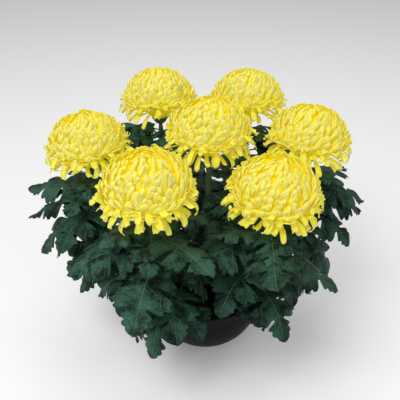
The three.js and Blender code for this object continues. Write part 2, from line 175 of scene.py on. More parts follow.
def lathe(profile: Array, segments: int) -> Array:
    """Rings round the upright axis through profile points of a radius and a height."""
    turn = np.arange(segments) * 360 / segments
    return heading(turn) * profile[:, :1, None] + UP * profile[:, 1:, None]


def lumps(points: Array, size: float, seed: int, waves: int = 14) -> Array:
    """Smooth random relief from about -1 to 1: the mean of plane waves in seeded directions.

    Args:
        points: Where it is wanted, shaped (..., 3).
        size: About how wide a lump is.
        seed: Picks the waves.
        waves: How many there are.

    Returns:
        One height for each point.
    """
    rng = np.random.default_rng(seed)
    ways = rng.normal(size=(waves, 3)) / size
    return 2.2 * np.sin(points @ ways.T + rng.uniform(0, 2 * np.pi, waves)).mean(-1)


# ---- Meshes -----------------------------------------------------------------------------------


def closed_faces(rows: int, cols: int) -> Array:
    """Triangles of a skin over rings of points, closed at both ends by a fan.

    Args:
        rows: How many rings there are, from the first end to the last.
        cols: How many points a ring has, turning left about the way from ring to ring.

    Returns:
        Indices of the triangles' corners, shaped (triangles, 3), facing outwards.
    """
    i, j = np.meshgrid(np.arange(rows - 1) * cols, np.arange(cols), indexing="ij")
    a, b = i + j, i + (j + 1) % cols
    sides = np.stack([a, b, b + cols, a, b + cols, a + cols], -1).reshape(-1, 3)
    k = np.arange(1, cols - 1)
    last = (rows - 1) * cols
    first_end = np.stack([0 * k, k + 1, k], -1)
    last_end = np.stack([0 * k + last, k + last, k + last + 1], -1)
    return np.concatenate([sides, first_end, last_end])


@dataclass
class Skin:
    """Triangles gathered from many closed surfaces, with a mark and a tone for each point."""

    points: list[Array] = field(default_factory=list)
    faces: list[Array] = field(default_factory=list)
    marks: list[Array] = field(default_factory=list)
    tones: list[Array] = field(default_factory=list)
    total: int = 0

    def add(self, rings: Array, marks: Array | Colour = (0, 0, 0), tone: Array | float = 0.5) -> None:
        """Adds closed surfaces over rings of points.

        Args:
            rings: Points, shaped (surfaces, rows, cols, 3).
            marks: Three numbers for each point, in a shape that fits rings.
            tone: One number for each surface, or one for all.
        """
        count, rows, cols, _ = rings.shape
        faces = closed_faces(rows, cols)
        starts = self.total + np.arange(count) * rows * cols
        self.points.append(rings.reshape(-1, 3))
        self.faces.append((faces[None] + starts[:, None, None]).reshape(-1, 3))
        self.marks.append(np.broadcast_to(marks, rings.shape).reshape(-1, 3))
        tones = np.broadcast_to(np.reshape(tone, (-1, 1)), (count, rows * cols))
        self.tones.append(tones.reshape(-1))
        self.total += count * rows * cols

    def mesh(self, name: str) -> Mesh:
        """Turns the gathered triangles into one smooth mesh, in metres.

        Args:
            name: The mesh's name.

        Returns:
            The mesh, with its marks and tones as attributes of its points.
        """
        points, faces = np.concatenate(self.points), np.concatenate(self.faces)
        mesh = bpy.data.meshes.new(name)
        mesh.vertices.add(len(points))
        mesh.vertices.foreach_set("co", (points * MM).astype(np.float32).ravel())
        mesh.loops.add(faces.size)
        mesh.loops.foreach_set("vertex_index", faces.astype(np.int32).ravel())
        mesh.polygons.add(len(faces))
        mesh.polygons.foreach_set("loop_start", np.arange(0, faces.size, 3, dtype=np.int32))
        mesh.update(calc_edges=True)
        mesh.shade_smooth()
        mark = mesh.attributes.new("mark", "FLOAT_VECTOR", "POINT")
        mark.data.foreach_set("vector", np.concatenate(self.marks).astype(np.float32).ravel())
        tone = mesh.attributes.new("tone", "FLOAT", "POINT")
        tone.data.foreach_set("value", np.concatenate(self.tones).astype(np.float32))
        return mesh


def place_piece(mesh: Mesh, materials: list[Material], node: str) -> Piece:
    """Puts a mesh into the scene as a piece of the plant, under the mesh's own name.

    Args:
        mesh: The mesh, in the plant's own frame.
        materials: Its materials, in the order that its faces count them.
        node: The solid that it stands for.

    Returns:
        The piece.
    """
    piece = bpy.data.objects.new(mesh.name, mesh)
    bpy.context.scene.collection.objects.link(piece)
    for material in materials:
        mesh.materials.append(material)
    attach(piece, "root")
    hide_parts(node)
    LOG.info("%s: %d triangles", piece.name, len(mesh.polygons))
    return piece


@dataclass(frozen=True)
class Strap:
    """The section of a floret, bract or other narrow blade: a crescent between two edges."""

    across: tuple[float, ...] = (-1, -0.62, 0, 0.62, 1, 0.62, 0, -0.62)
    side: tuple[float, ...] = (0, 1, 1, 1, 0, -1, -1, -1)
    thinning: float = 0.8

    def rings(self, path: Array, aside: Array, half: Array, cup: Array, thick: float) -> Array:
        """Carries the section along paths.

        A ring's points lie at across * half width aside of the path, and inwards of it by
        cup * half width * across^2, with half the thickness to either side.

        Args:
            path: Centre lines, shaped (blades, rows, 3).
            aside: Unit vectors square to the paths, in the same shape.
            half: Half widths, shaped (blades, rows).
            cup: How far the edges curl in, in shares of the half width, shaped as half.
            thick: The thickness in the middle.

        Returns:
            Rings of points, shaped (blades, rows, cols, 3).
        """
        outwards = unit(np.cross(aside, np.gradient(path, axis=1)))
        a, side = np.array(self.across), np.array(self.side)
        wide = half[..., None] * a
        body = side * thick / 2 * np.sqrt(1 - self.thinning * a * a)
        high = body - (cup * half)[..., None] * a * a
        rings = path[:, :, None] + aside[:, :, None] * wide[..., None]
        return rings + outwards[:, :, None] * high[..., None]


# ---- Stems ------------------------------------------------------------------------------------


@dataclass(frozen=True)
class Stem:
    """One stem: where it stands, where its bloom is, and the headings of its leaves.

    Heading is from +X, reach is how far out the bloom stands, height is the middle of the bloom's
    body, lean is how far it tips outwards, and leaves run from the lowest to the highest. Climb,
    out and rise say how it bows, and the neck's and the cup's heights are in the bloom's frame.
    """

    name: str
    heading: float
    reach: float
    height: float
    lean: float
    leaves: tuple[float, ...]
    circle: float = 30
    soil_edge: float = 112
    soil_crown: float = 117
    collar: float = 3
    depth: float = 52
    foot_radius: float = 4.5
    neck_radius: float = 3.2
    free: float = 0.16
    climb: float = 0.2
    out: float = 0.35
    rise: float = 0.75
    neck_height: float = -56.3
    cup_height: float = -42.3
    cup_radius: float = 15
    rod_rows: int = 64
    rod_sides: int = 20
    ribs: int = 5
    rib_depth: float = 0.05
    joint_swell: float = 1.1
    joint_spread: float = 0.012
    cup_rows: int = 12
    cup_sides: int = 40
    scallops: int = 13
    scallop_depth: float = 0.035
    bract_count: int = 26
    bract_rows: int = 7
    bract_width: float = 4.6
    bract_cup: float = 0.25
    bract_thickness: float = 0.8

    @property
    def away(self) -> Array:
        """The level direction that the stem leans in."""
        return heading(self.heading)

    @property
    def flat(self) -> Array:
        """The level direction square to the plane that the stem bows in."""
        return np.cross(UP, self.away)

    @property
    def foot(self) -> Array:
        """The middle of the stem where it leaves the soil."""
        return self.away * self.circle + UP * self.soil_edge

    @property
    def top(self) -> Array:
        """The direction that the bloom's top points in."""
        lean = np.radians(self.lean)
        return UP * np.cos(lean) + self.away * np.sin(lean)

    @property
    def basis(self) -> Array:
        """The bloom's three axes as rows: ahead, aside and top."""
        aside = unit(np.cross(self.top, self.away))
        return np.stack([np.cross(aside, self.top), aside, self.top])

    @property
    def middle(self) -> Array:
        """The middle of the bloom's body."""
        return self.away * self.reach + UP * self.height

    @property
    def corners(self) -> Array:
        """The control points of the stem's curve, from the soil to the bloom's underside."""
        neck = self.middle + self.top * self.neck_height
        lift = neck[2] - self.soil_edge
        bowed = self.foot + UP * lift * self.climb + self.away * self.reach * self.out
        return np.stack([self.foot, bowed, neck - self.top * lift * self.rise, neck])

    def to_bloom(self, points: Array) -> Array:
        """Points of the plant's frame in the bloom's frame."""
        return (points - self.middle) @ self.basis.T

    def from_bloom(self, points: Array) -> Array:
        """Points of the bloom's frame in the plant's frame."""
        return points @ self.basis + self.middle

    def along(self, at: Array | float) -> Array:
        """Points on the stem's curve, at shares of it from 0 to 1."""
        return bezier(self.corners, np.atleast_1d(at))

    def rod(self, joints: Array) -> Array:
        """The stem itself: circles square to its Bezier curve, and a straight foot in the soil.

        The radius falls evenly from the foot to the neck, a bell-shaped swell at each leaf's joint
        adds to it, and ribs vary it by a cosine of the turn.

        Args:
            joints: Where its leaves stand, in shares of its curve.

        Returns:
            Rings from its foot in the soil to its neck under the bloom, shaped (1, rows, cols, 3).
        """
        at = np.concatenate([[0, 0], np.linspace(self.free, 1, self.rod_rows)])
        path = self.along(at)
        path[0] = self.foot - UP * self.depth
        path[1] = self.foot + UP * (self.soil_crown + self.collar - self.soil_edge)
        tangent = unit(np.gradient(path, axis=0))
        tangent[:2] = UP
        side = np.cross(self.flat, tangent)
        radius = mix(self.foot_radius, self.neck_radius, at)
        near = np.exp(-(((at[:, None] - joints) / self.joint_spread) ** 2))
        swollen = radius + self.joint_swell * near.sum(-1)
        turn = np.arange(self.rod_sides) / self.rod_sides * 2 * np.pi
        ribbed = swollen[:, None] * (1 + self.rib_depth * np.cos(self.ribs * turn))
        rings = path[:, None] + side[:, None] * (ribbed * np.cos(turn))[..., None]
        return (rings - self.flat * (ribbed * np.sin(turn))[..., None])[None]

    def calyx(self) -> Array:
        """The green cup under the bloom: circles whose edge is scalloped by a cosine of the turn.

        From the neck to the cup the radius grows as sin(quarter turn * t)^0.8 and the height as
        t^1.25.

        Returns:
            Rings from the neck to its flat top, shaped (1, rows, cols, 3).
        """
        share = np.linspace(0, 1, self.cup_rows)
        radius = mix(self.neck_radius, self.cup_radius, np.sin(share * np.pi / 2) ** 0.8)
        height = mix(self.neck_height - 2, self.cup_height, share**1.25)
        turn = np.arange(self.cup_sides) * 360 / self.cup_sides
        wave = np.cos(np.radians(turn) * self.scallops)
        scallop = 1 + self.scallop_depth * wave * smooth(share)[:, None]
        rings = heading(turn) * (radius[:, None] * scallop)[..., None] + UP * height[:, None, None]
        return self.from_bloom(rings)[None]

    def bracts(self, seed: int) -> Array:
        """The narrow green scales that lie in two rows on the calyx.

        They climb from radius 5.5 and height -54 to radius 18.5 and height -40.5 in the bloom's
        frame. Every other one starts 2.5 further out and ends as much further in, and 3 lower.

        Args:
            seed: The stem's place in the list of stems.

        Returns:
            Rings of points for all scales.
        """
        index = np.arange(self.bract_count)
        stray = np.array([jitter(4, seed, 300, int(i), 1) for i in index])
        out = heading(index * 360 / self.bract_count + stray)[:, None]
        t = np.linspace(0, 1, self.bract_rows)
        other = (index % 2)[:, None]
        radius = mix(5.5 + 2.5 * other, 18.5 - 2.5 * other, t**0.8)
        height = mix(-54, -40.5 - 3 * other, t**1.4)
        path = out * radius[..., None] + UP * height[..., None]
        oval = np.sqrt(np.maximum(1 - (1.7 * t - 0.75) ** 2, 0.04))
        half = self.bract_width / 2 * oval * np.ones((self.bract_count, 1))
        aside = np.broadcast_to(np.cross(UP, out), path.shape)
        cup = self.bract_cup + 0 * half
        return self.from_bloom(Strap().rings(path, aside, half, cup, self.bract_thickness))


STEMS = (
    Stem(
        "left", heading=178, reach=217, height=440, lean=6,
        leaves=(-118, 80, -152, 100, 150, -62, -142, 110, -166, -90, -150, -118, -164, 176),
    ),
    Stem(
        "back_left", heading=119, reach=197, height=467, lean=5,
        leaves=(100, 130, 30, 170, 90, -160, -60, 120, 60, -20, 178, 150),
    ),
    Stem(
        "back_right", heading=64, reach=199, height=463, lean=5,
        leaves=(80, 0, 60, 140, 90, 20, -120, 45, 110, -60, 15, -20),
    ),
    Stem(
        "right", heading=3, reach=188, height=452, lean=6,
        leaves=(-34, 120, -10, -75, 45, -28, 80, -60, -28, 10, 12, 40),
    ),
    Stem(
        "front_right", heading=-58, reach=201, height=441, lean=8,
        leaves=(130, 40, 150, 90, -64, 15, -125, -20, -160, -90),
    ),
    Stem(
        "front_left", heading=-115, reach=217, height=464, lean=8,
        leaves=(-128, -106, 120, 150, -80, 170, 60, -103, -165, -50),
    ),
    Stem(
        "centre", heading=-81, reach=32, height=482, lean=2, circle=0,
        leaves=(-90, 60, 150, -150, 30, -100, 100, -20, -150, -65, 20, 165),
    ),
)


# ---- Leaves -----------------------------------------------------------------------------------


@dataclass(frozen=True)
class LeafPlan:
    """A leaf's place on its stem and its habit."""

    at: float
    heading: float
    length: float
    rise: float
    tip: float
    roll: float = 0
    young: bool = False


@dataclass(frozen=True)
class LeafHabit:
    """How the large leaves stand, from a stem's lowest to its highest, and how far they may bend.

    Rise is the slope at the stem and tip the slope at the leaf's end, both above the horizon.
    Spread is how much length (as a share), rise, tip and roll vary, by draws that are numbered
    from first_draw. Room is the share of the full room that a leaf keeps free round it.
    """

    longest: float = 124
    shortest: float = 106
    fullness: Pair = (0.3, 0.88)
    rise: Pair = (35, 12)
    tip: Pair = (-74, -14)
    place: Pair = (0.3, 0.94)
    crowding: float = 0.75
    spread: tuple[float, float, float, float] = (0.07, 9, 14, 14)
    first_draw: int = 2
    bend_step: float = 8
    most_bends: int = 5
    room: float = 1
    young: bool = False

    def count(self, stem: int) -> int:
        """How many leaves of this habit a stem has."""
        return len(STEMS[stem].leaves)

    def usual(self, stem: int, leaf: int) -> LeafPlan:
        """A leaf's plan before it varies or bends; the longest stand just above mid-stem.

        Args:
            stem: The stem that carries it.
            leaf: Its place among the stem's leaves of this habit.

        Returns:
            The plan.
        """
        leaves = STEMS[stem].leaves
        share = leaf / (len(leaves) - 1)
        full = max(float(np.sin(np.pi * mix(*self.fullness, share))), 0) ** 0.5
        at = mix(*self.place, share**self.crowding)
        length = mix(self.shortest, self.longest, full)
        return LeafPlan(at, leaves[leaf], length, mix(*self.rise, share), mix(*self.tip, share**3))

    def plan(self, stem: int, leaf: int, lift: float, turn: float) -> LeafPlan:
        """Plans a leaf with a bend of lift and turn degrees.

        Args:
            stem: The stem that carries it.
            leaf: Its place among the stem's leaves of this habit.
            lift: How much steeper than usual it stands.
            turn: How much further round than usual it points.

        Returns:
            The plan.
        """
        usual = self.usual(stem, leaf)
        longer, steeper, straighter, roll = (
            jitter(size, stem, leaf, self.first_draw + i) for i, size in enumerate(self.spread)
        )
        return LeafPlan(
            usual.at,
            usual.heading + turn,
            usual.length * (1 + longer),
            usual.rise + steeper + lift,
            usual.tip + straighter + lift,
            roll,
            self.young,
        )

    def bends(self) -> list[Pair]:
        """Lists the bends to try, the smallest first, round growing squares.

        Returns:
            Pairs of a lift and a turn.
        """
        steps = range(-self.most_bends, self.most_bends + 1)
        order = sorted(
            ((i, j) for i in steps for j in steps),
            key=lambda bend: (max(abs(bend[0]), abs(bend[1])), bend[0], bend[1]),
        )
        return [(i * self.bend_step, j * self.bend_step) for i, j in order]


@dataclass(frozen=True)
class YoungHabit(LeafHabit):
    """How the small leaves stand that fill the upper stems between the large ones.

    They wind down each stem by the golden angle, from a heading that is the stem's own.
    """

    longest: float = 96
    shortest: float = 72
    rise: Pair = (26, 10)
    tip: Pair = (-44, -20)
    place: Pair = (0.4, 0.98)
    spread: tuple[float, float, float, float] = (0.1, 9, 14, 18)
    first_draw: int = 12
    room: float = 0.3
    young: bool = True
    leaves: int = 12
    facing: float = -90
    stem_turn: float = 20

    def count(self, stem: int) -> int:
        """How many small leaves a stem has."""
        return self.leaves

    def usual(self, stem: int, leaf: int) -> LeafPlan:
        """A small leaf's plan before it varies or bends; the highest are the shortest.

        Args:
            stem: The stem that carries it.
            leaf: Its place among the stem's leaves of this habit.

        Returns:
            The plan.
        """
        share = leaf / (self.leaves - 1)
        at = mix(*self.place, share**self.crowding)
        way = self.facing + (self.leaves - 1 - leaf) * GOLDEN_ANGLE + stem * self.stem_turn
        length = mix(self.longest, self.shortest, share)
        return LeafPlan(at, way, length, mix(*self.rise, share), mix(*self.tip, share))


@dataclass(frozen=True)
class NeckHabit(LeafHabit):
    """How the uppermost leaves stand, which spread just below the blooms.

    Each stem has a row of headings for them, from the highest leaf to the lowest.
    """

    longest: float = 84
    rise: Pair = (9, 9)
    tip: Pair = (-22, -22)
    highest: float = 0.975
    spacing: float = 0.025
    spread: tuple[float, float, float, float] = (0.12, 6, 12, 18)
    first_draw: int = 22
    most_bends: int = 3
    room: float = 0.2
    young: bool = True
    headings: tuple[tuple[float, ...], ...] = (
        (60, -110, 130, -25),
        (160, 200, -50, 100),
        (22, -35, 60, 110),
        (-130, -90),
        (-90, 190),
        (215, -90, 180),
        (150, 12, 195, -60, 90),
    )

    def count(self, stem: int) -> int:
        """How many uppermost leaves a stem has."""
        return len(self.headings[stem])

    def usual(self, stem: int, leaf: int) -> LeafPlan:
        """An uppermost leaf's plan before it varies or bends."""
        at = self.highest - self.spacing * leaf
        return LeafPlan(at, self.headings[stem][leaf], self.longest, self.rise[0], self.tip[0])


class LeafSurface:
    """A leaf's surface over places (along, aside), in shares of the blade's length.

    The midrib lies in an upright plane and its slope falls smoothly from the rise at the stem to
    the tip's. The blade arches down to both sides by arch * length * aside^2.
    """

    STEPS = 60
    STALK = 0.22
    ARCH = 0.77

    def __init__(self, root: Array, plan: LeafPlan) -> None:
        """Lays the midrib out from the root, in short steps.

        Args:
            root: Where the stalk leaves the stem.
            plan: The leaf's plan.
        """
        self.root, self.length, self.roll = root, plan.length, plan.roll
        self.out = heading(plan.heading)
        self.stalk = plan.length * self.STALK
        self.step = (self.stalk + plan.length) / self.STEPS
        share = smooth(np.arange(self.STEPS + 1) / self.STEPS)
        self.slope = np.radians(mix(plan.rise, plan.tip, share))
        self.run = np.append(0, np.cumsum(np.cos(self.slope[:-1]))) * self.step
        self.climb = np.append(0, np.cumsum(np.sin(self.slope[:-1]))) * self.step

    def at(self, along: Array, aside: Array) -> tuple[Array, Array]:
        """Points and normals of the surface at places on the blade or its stalk.

        Args:
            along: Shares of the blade's length from its foot; the stalk's are below 0.
            aside: Shares of the same length, across the midrib.

        Returns:
            The points and the normals, each shaped as the places with 3 at the end.
        """
        place = (along * self.length + self.stalk) / self.step
        i = np.clip(np.floor(place), 0, self.STEPS - 1).astype(int)
        run, climb, slope = (
            mix(track[i], track[i + 1], place - i) for track in (self.run, self.climb, self.slope)
        )
        axis = self.out * np.cos(slope)[..., None] + UP * np.sin(slope)[..., None]
        flat = np.broadcast_to(np.cross(UP, self.out), axis.shape)
        across = turned(flat, axis, self.roll)
        normal = np.cross(axis, across)
        wide = (aside * self.length)[..., None]
        point = self.root + self.out * run[..., None] + UP * climb[..., None]
        return point + across * wide - normal * self.ARCH * wide * aside[..., None], normal


Leaves = list[tuple[LeafPlan, LeafSurface]]


class Foliage:
    """Plans all leaves, each with the smallest bend that lets it hang free of its neighbours.

    A leaf feels for them at rows of places (along, how far aside, how many places). The first
    rows are its stalk's. The blooms' room is a radius, a height above the middle and a depth
    below it, and the neck is the radius round a leaf's own stem that it may enter. A pair is for
    a leaf that keeps no room and one that keeps all.
    """

    FEELERS = (
        (-0.2, 0, 1),
        (-0.12, 0, 1),
        (-0.04, 0, 1),
        (0.06, 0.12, 3),
        (0.18, 0.3, 5),
        (0.3, 0.32, 5),
        (0.42, 0.13, 3),
        (0.54, 0.32, 5),
        (0.66, 0.26, 5),
        (0.78, 0.15, 3),
        (0.9, 0, 1),
        (1, 0, 1),
    )
    STALK_FEELERS = 3
    LEAF_ROOM = 17
    SAME_STEM_ROOM = 10
    STEM_ROOM = 13
    FLOOR_ROOM = 8
    SOIL_ROOM = 6
    OUTSIDE_ROOM = 9
    INSIDE_ROOM = 12
    LIP_ROOM = 14
    UNDER_LIP = 3
    BLOOM_RADIUS = (74, 84)
    BLOOM_ABOVE = 66
    BLOOM_BELOW = (42, 65)
    TAPER = 1.2
    NECK = (24, 34)
    ROD_POINTS = 40

    def __init__(self, habits: tuple[LeafHabit, ...], bowl: Bowl) -> None:
        """Notes the leaves' habits, the bowl and points along every stem.

        Args:
            habits: The habits, in the order in which their leaves find room.
            bowl: The bowl that they hang over.
        """
        self.habits, self.bowl = habits, bowl
        spots = [
            (along, aside * share)
            for along, aside, count in self.FEELERS
            for share in (np.linspace(-1, 1, count) if count > 1 else (0,))
        ]
        self.along, self.aside = np.array(spots, float).T
        at = np.arange(self.ROD_POINTS) / (self.ROD_POINTS - 1)
        self.rods = [stem.along(at) for stem in STEMS]

    @staticmethod
    def near(points: Array, others: Array, room: float) -> bool:
        """Whether any point lies closer than room to any other."""
        gaps = points[:, None] - others[None]
        return bool((np.einsum("ijk,ijk->ij", gaps, gaps) < room * room).any())

    def off_bowl(self, points: Array) -> bool:
        """Whether all points keep off the floor, the bowl's wall and the soil.

        Args:
            points: Points of a leaf.

        Returns:
            True if the leaf can stay.
        """
        bowl, z = self.bowl, points[:, 2]
        radius = np.hypot(points[:, 0], points[:, 1])
        lip = z > bowl.height - bowl.lip_depth - self.UNDER_LIP
        skin = bowl.radius(np.minimum(z, bowl.height))
        wall = np.where(lip, bowl.belly_radius + bowl.lip_width, skin)
        within = radius <= wall - self.INSIDE_ROOM
        at_wall = ~within & (radius < wall + self.OUTSIDE_ROOM)
        at_soil = within & (z < STEMS[0].soil_crown + self.SOIL_ROOM)
        low = z < bowl.height + self.LIP_ROOM
        return not ((z < self.FLOOR_ROOM).any() or (low & (at_wall | at_soil)).any())

    def off_blooms(self, points: Array, owner: int, room: float) -> bool:
        """Whether all points keep off the blooms.

        The less room a leaf keeps, the more the room below a bloom tapers towards its rim.

        Args:
            points: Points of a leaf.
            owner: The stem that carries it.
            room: How much of the room round the blooms it keeps, from 0 to 1.

        Returns:
            True if the leaf can stay.
        """
        radius, below, neck = (
            mix(*pair, room) for pair in (self.BLOOM_RADIUS, self.BLOOM_BELOW, self.NECK)
        )
        for index, stem in enumerate(STEMS):
            local = stem.to_bloom(points)
            off = np.hypot(local[:, 0], local[:, 1])
            floor = -below * mix(1, 1.1 - 0.5 * off / radius, self.TAPER * (1 - room))
            inside = (off <= radius) & (local[:, 2] >= floor) & (local[:, 2] <= self.BLOOM_ABOVE)
            if index == owner:
                inside &= off >= neck
            if inside.any():
                return False
        return True

    def surfaces(self) -> dict[int, Leaves]:
        """Settles the leaves habit by habit, and in a habit the last of each stem's row first.

        Returns:
            For each stem's index, the plan and surface of each of its leaves.
        """
        grown: dict[int, Leaves] = {i: [] for i in range(len(STEMS))}
        felt: dict[int, Array] = {i: np.empty((0, 3)) for i in range(len(STEMS))}
        for habit in self.habits:
            order = [(stem, leaf) for stem in grown for leaf in range(habit.count(stem))]
            order.sort(key=lambda pair: (-pair[1], pair[0]))
            for stem, leaf in order:
                found = self.settle(habit, stem, leaf, felt)
                if found:
                    grown[stem].append(found[:2])
                    felt[stem] = np.concatenate([felt[stem], found[2]])
        return grown

    def settle(
        self, habit: LeafHabit, stem: int, leaf: int, felt: dict[int, Array]
    ) -> tuple[LeafPlan, LeafSurface, Array] | None:
        """Finds a leaf's smallest bend that keeps it free.

        Args:
            habit: The leaf's habit.
            stem: The stem that carries it.
            leaf: Its place among the leaves of that habit.
            felt: The points that each stem's leaves hold so far.

        Returns:
            The leaf's plan, its surface and the points that it holds, or nothing if it has no room.
        """
        rods = np.concatenate([rod for i, rod in enumerate(self.rods) if i != stem])
        others = np.concatenate([points for i, points in felt.items() if i != stem])
        for lift, turn in habit.bends():
            plan = habit.plan(stem, leaf, lift, turn)
            surface = LeafSurface(STEMS[stem].along(plan.at)[0], plan)
            points, _ = surface.at(self.along, self.aside)
            blade = points[self.STALK_FEELERS :]
            if (
                self.off_bowl(points)
                and self.off_blooms(points, stem, habit.room)
                and not self.near(points, rods, self.STEM_ROOM * habit.room)
                and not self.near(points, others, self.LEAF_ROOM * habit.room)
                and not self.near(blade, felt[stem], self.SAME_STEM_ROOM * habit.room)
            ):
                return plan, surface, points
        return None


@dataclass(frozen=True)
class Blade:
    """A leaf's blade and stalk: a thin closed sheet with a lobed and toothed edge.

    The edge is given for one half, from the stalk to the tip, in shares of the blade's length:
    along, aside, and the place on the midrib that the line to that point leaves from.
    """

    edge: tuple[tuple[float, float, float], ...] = (
        (0.0, 0.018, 0.0),
        (0.012, 0.07, 0.008),
        (0.03, 0.15, 0.02),
        (0.035, 0.225, 0.035),
        (0.07, 0.275, 0.05),
        (0.12, 0.255, 0.065),
        (0.125, 0.33, 0.075),
        (0.165, 0.375, 0.09),
        (0.215, 0.34, 0.11),
        (0.245, 0.4, 0.13),
        (0.295, 0.41, 0.15),
        (0.325, 0.365, 0.18),
        (0.325, 0.26, 0.22),
        (0.335, 0.15, 0.265),
        (0.37, 0.115, 0.3),
        (0.4, 0.165, 0.315),
        (0.42, 0.26, 0.33),
        (0.45, 0.35, 0.345),
        (0.49, 0.395, 0.365),
        (0.54, 0.35, 0.385),
        (0.56, 0.39, 0.4),
        (0.61, 0.38, 0.42),
        (0.63, 0.3, 0.445),
        (0.665, 0.32, 0.465),
        (0.7, 0.285, 0.49),
        (0.685, 0.19, 0.52),
        (0.655, 0.115, 0.555),
        (0.67, 0.085, 0.59),
        (0.705, 0.105, 0.61),
        (0.735, 0.17, 0.63),
        (0.78, 0.205, 0.655),
        (0.81, 0.15, 0.69),
        (0.835, 0.17, 0.715),
        (0.875, 0.165, 0.75),
        (0.9, 0.115, 0.8),
        (0.93, 0.11, 0.84),
        (0.965, 0.075, 0.9),
        (0.99, 0.03, 0.96),
        (1.0, 0.004, 0.998),
    )
    across: tuple[float, ...] = (1, 0.88, 0.66, 0.4, 0.16, 0, -0.16, -0.4, -0.66, -0.88, -1)
    samples: int = 2
    stalk_rows: int = 9
    stalk_width: float = 3.2
    stalk_depth: float = 2.8
    thickness: float = 0.85
    thinning: float = 0.9
    ripple: float = 0.024
    ripples: float = 15
    fold: float = 2.2
    sink: float = 0.9

    def rings(self, plan: LeafPlan, surface: LeafSurface, *keys: int) -> tuple[Array, Array]:
        """One leaf as rings round its midrib, from the foot of its stalk to its tip.

        A ring runs over the upper face from one edge to the other and back below. Its points lie
        on straight lines from the midrib to the edge, raised by ripples that grow to the edge.
        The blade folds up a little from its sunken midrib.

        Args:
            plan: The leaf's plan.
            surface: Its surface.
            keys: The stem's and the leaf's place, for the draws.

        Returns:
            Rings of points, shaped (1, rows, cols, 3), and their marks: along, aside, and 1 on
            the upper face or 0 below.
        """
        edge = spline(np.array(self.edge), self.samples)
        stalk = np.linspace(-surface.STALK, 0, self.stalk_rows, endpoint=False)
        half = self.stalk_width / 2 / plan.length
        foot = np.stack([stalk, half + 0 * stalk, stalk], -1)
        edge = np.concatenate([foot, edge])
        over = np.array(self.across)
        a = np.concatenate([over, over[-2:0:-1]])
        side = np.concatenate([np.ones(len(over)), -np.ones(len(over) - 2)])
        side[[0, len(over) - 1]] = 0
        reach = np.abs(a)
        along = mix(edge[:, 2:], edge[:, :1], reach)
        aside = edge[:, 1:2] * a
        blade = smooth(along, -0.04, 0.06)
        depth = mix(self.stalk_depth, self.thickness, blade) * np.sqrt(1 - self.thinning * a * a)
        waves = np.sin(along * (self.ripples + jitter(4, *keys, 6)) + np.sign(a) * jitter(3, *keys, 7))
        ripple = self.ripple * plan.length * waves * reach**1.5
        fold = self.fold * reach**0.7 - self.sink
        point, normal = surface.at(along, aside)
        rings = point + normal * (depth * side / 2 + (ripple + fold) * blade)[..., None]
        marks = np.stack(np.broadcast_arrays(along, aside, (side >= 0) * 1.0), -1)
        return rings[None], marks[None]


# ---- Blooms -----------------------------------------------------------------------------------


class Trait(Enum):
    """What a draw varies in a floret of a bloom's body."""

    TIP = 0
    PLACE = 1
    SWAY = 2
    LENGTH = 3
    FREEDOM = 4
    STAND = 5
    ROLL = 6
    WIDTH = 7


def crowded(rows: int) -> Array:
    """Places along a floret from 0 to 1, which crowd towards its tip."""
    return 1 - (1 - np.linspace(0, 1, rows)) ** 1.4


def tapered(t: Array, root: float, start: float, power: float) -> Array:
    """A floret's width along it: it widens from the root's share and is rounded off from start."""
    end = np.clip((t - start) / (1 - start), 0, 1) ** power
    return mix(root, 1, smooth(t, 0, 0.6)) * np.sqrt(1 - 0.95 * end)


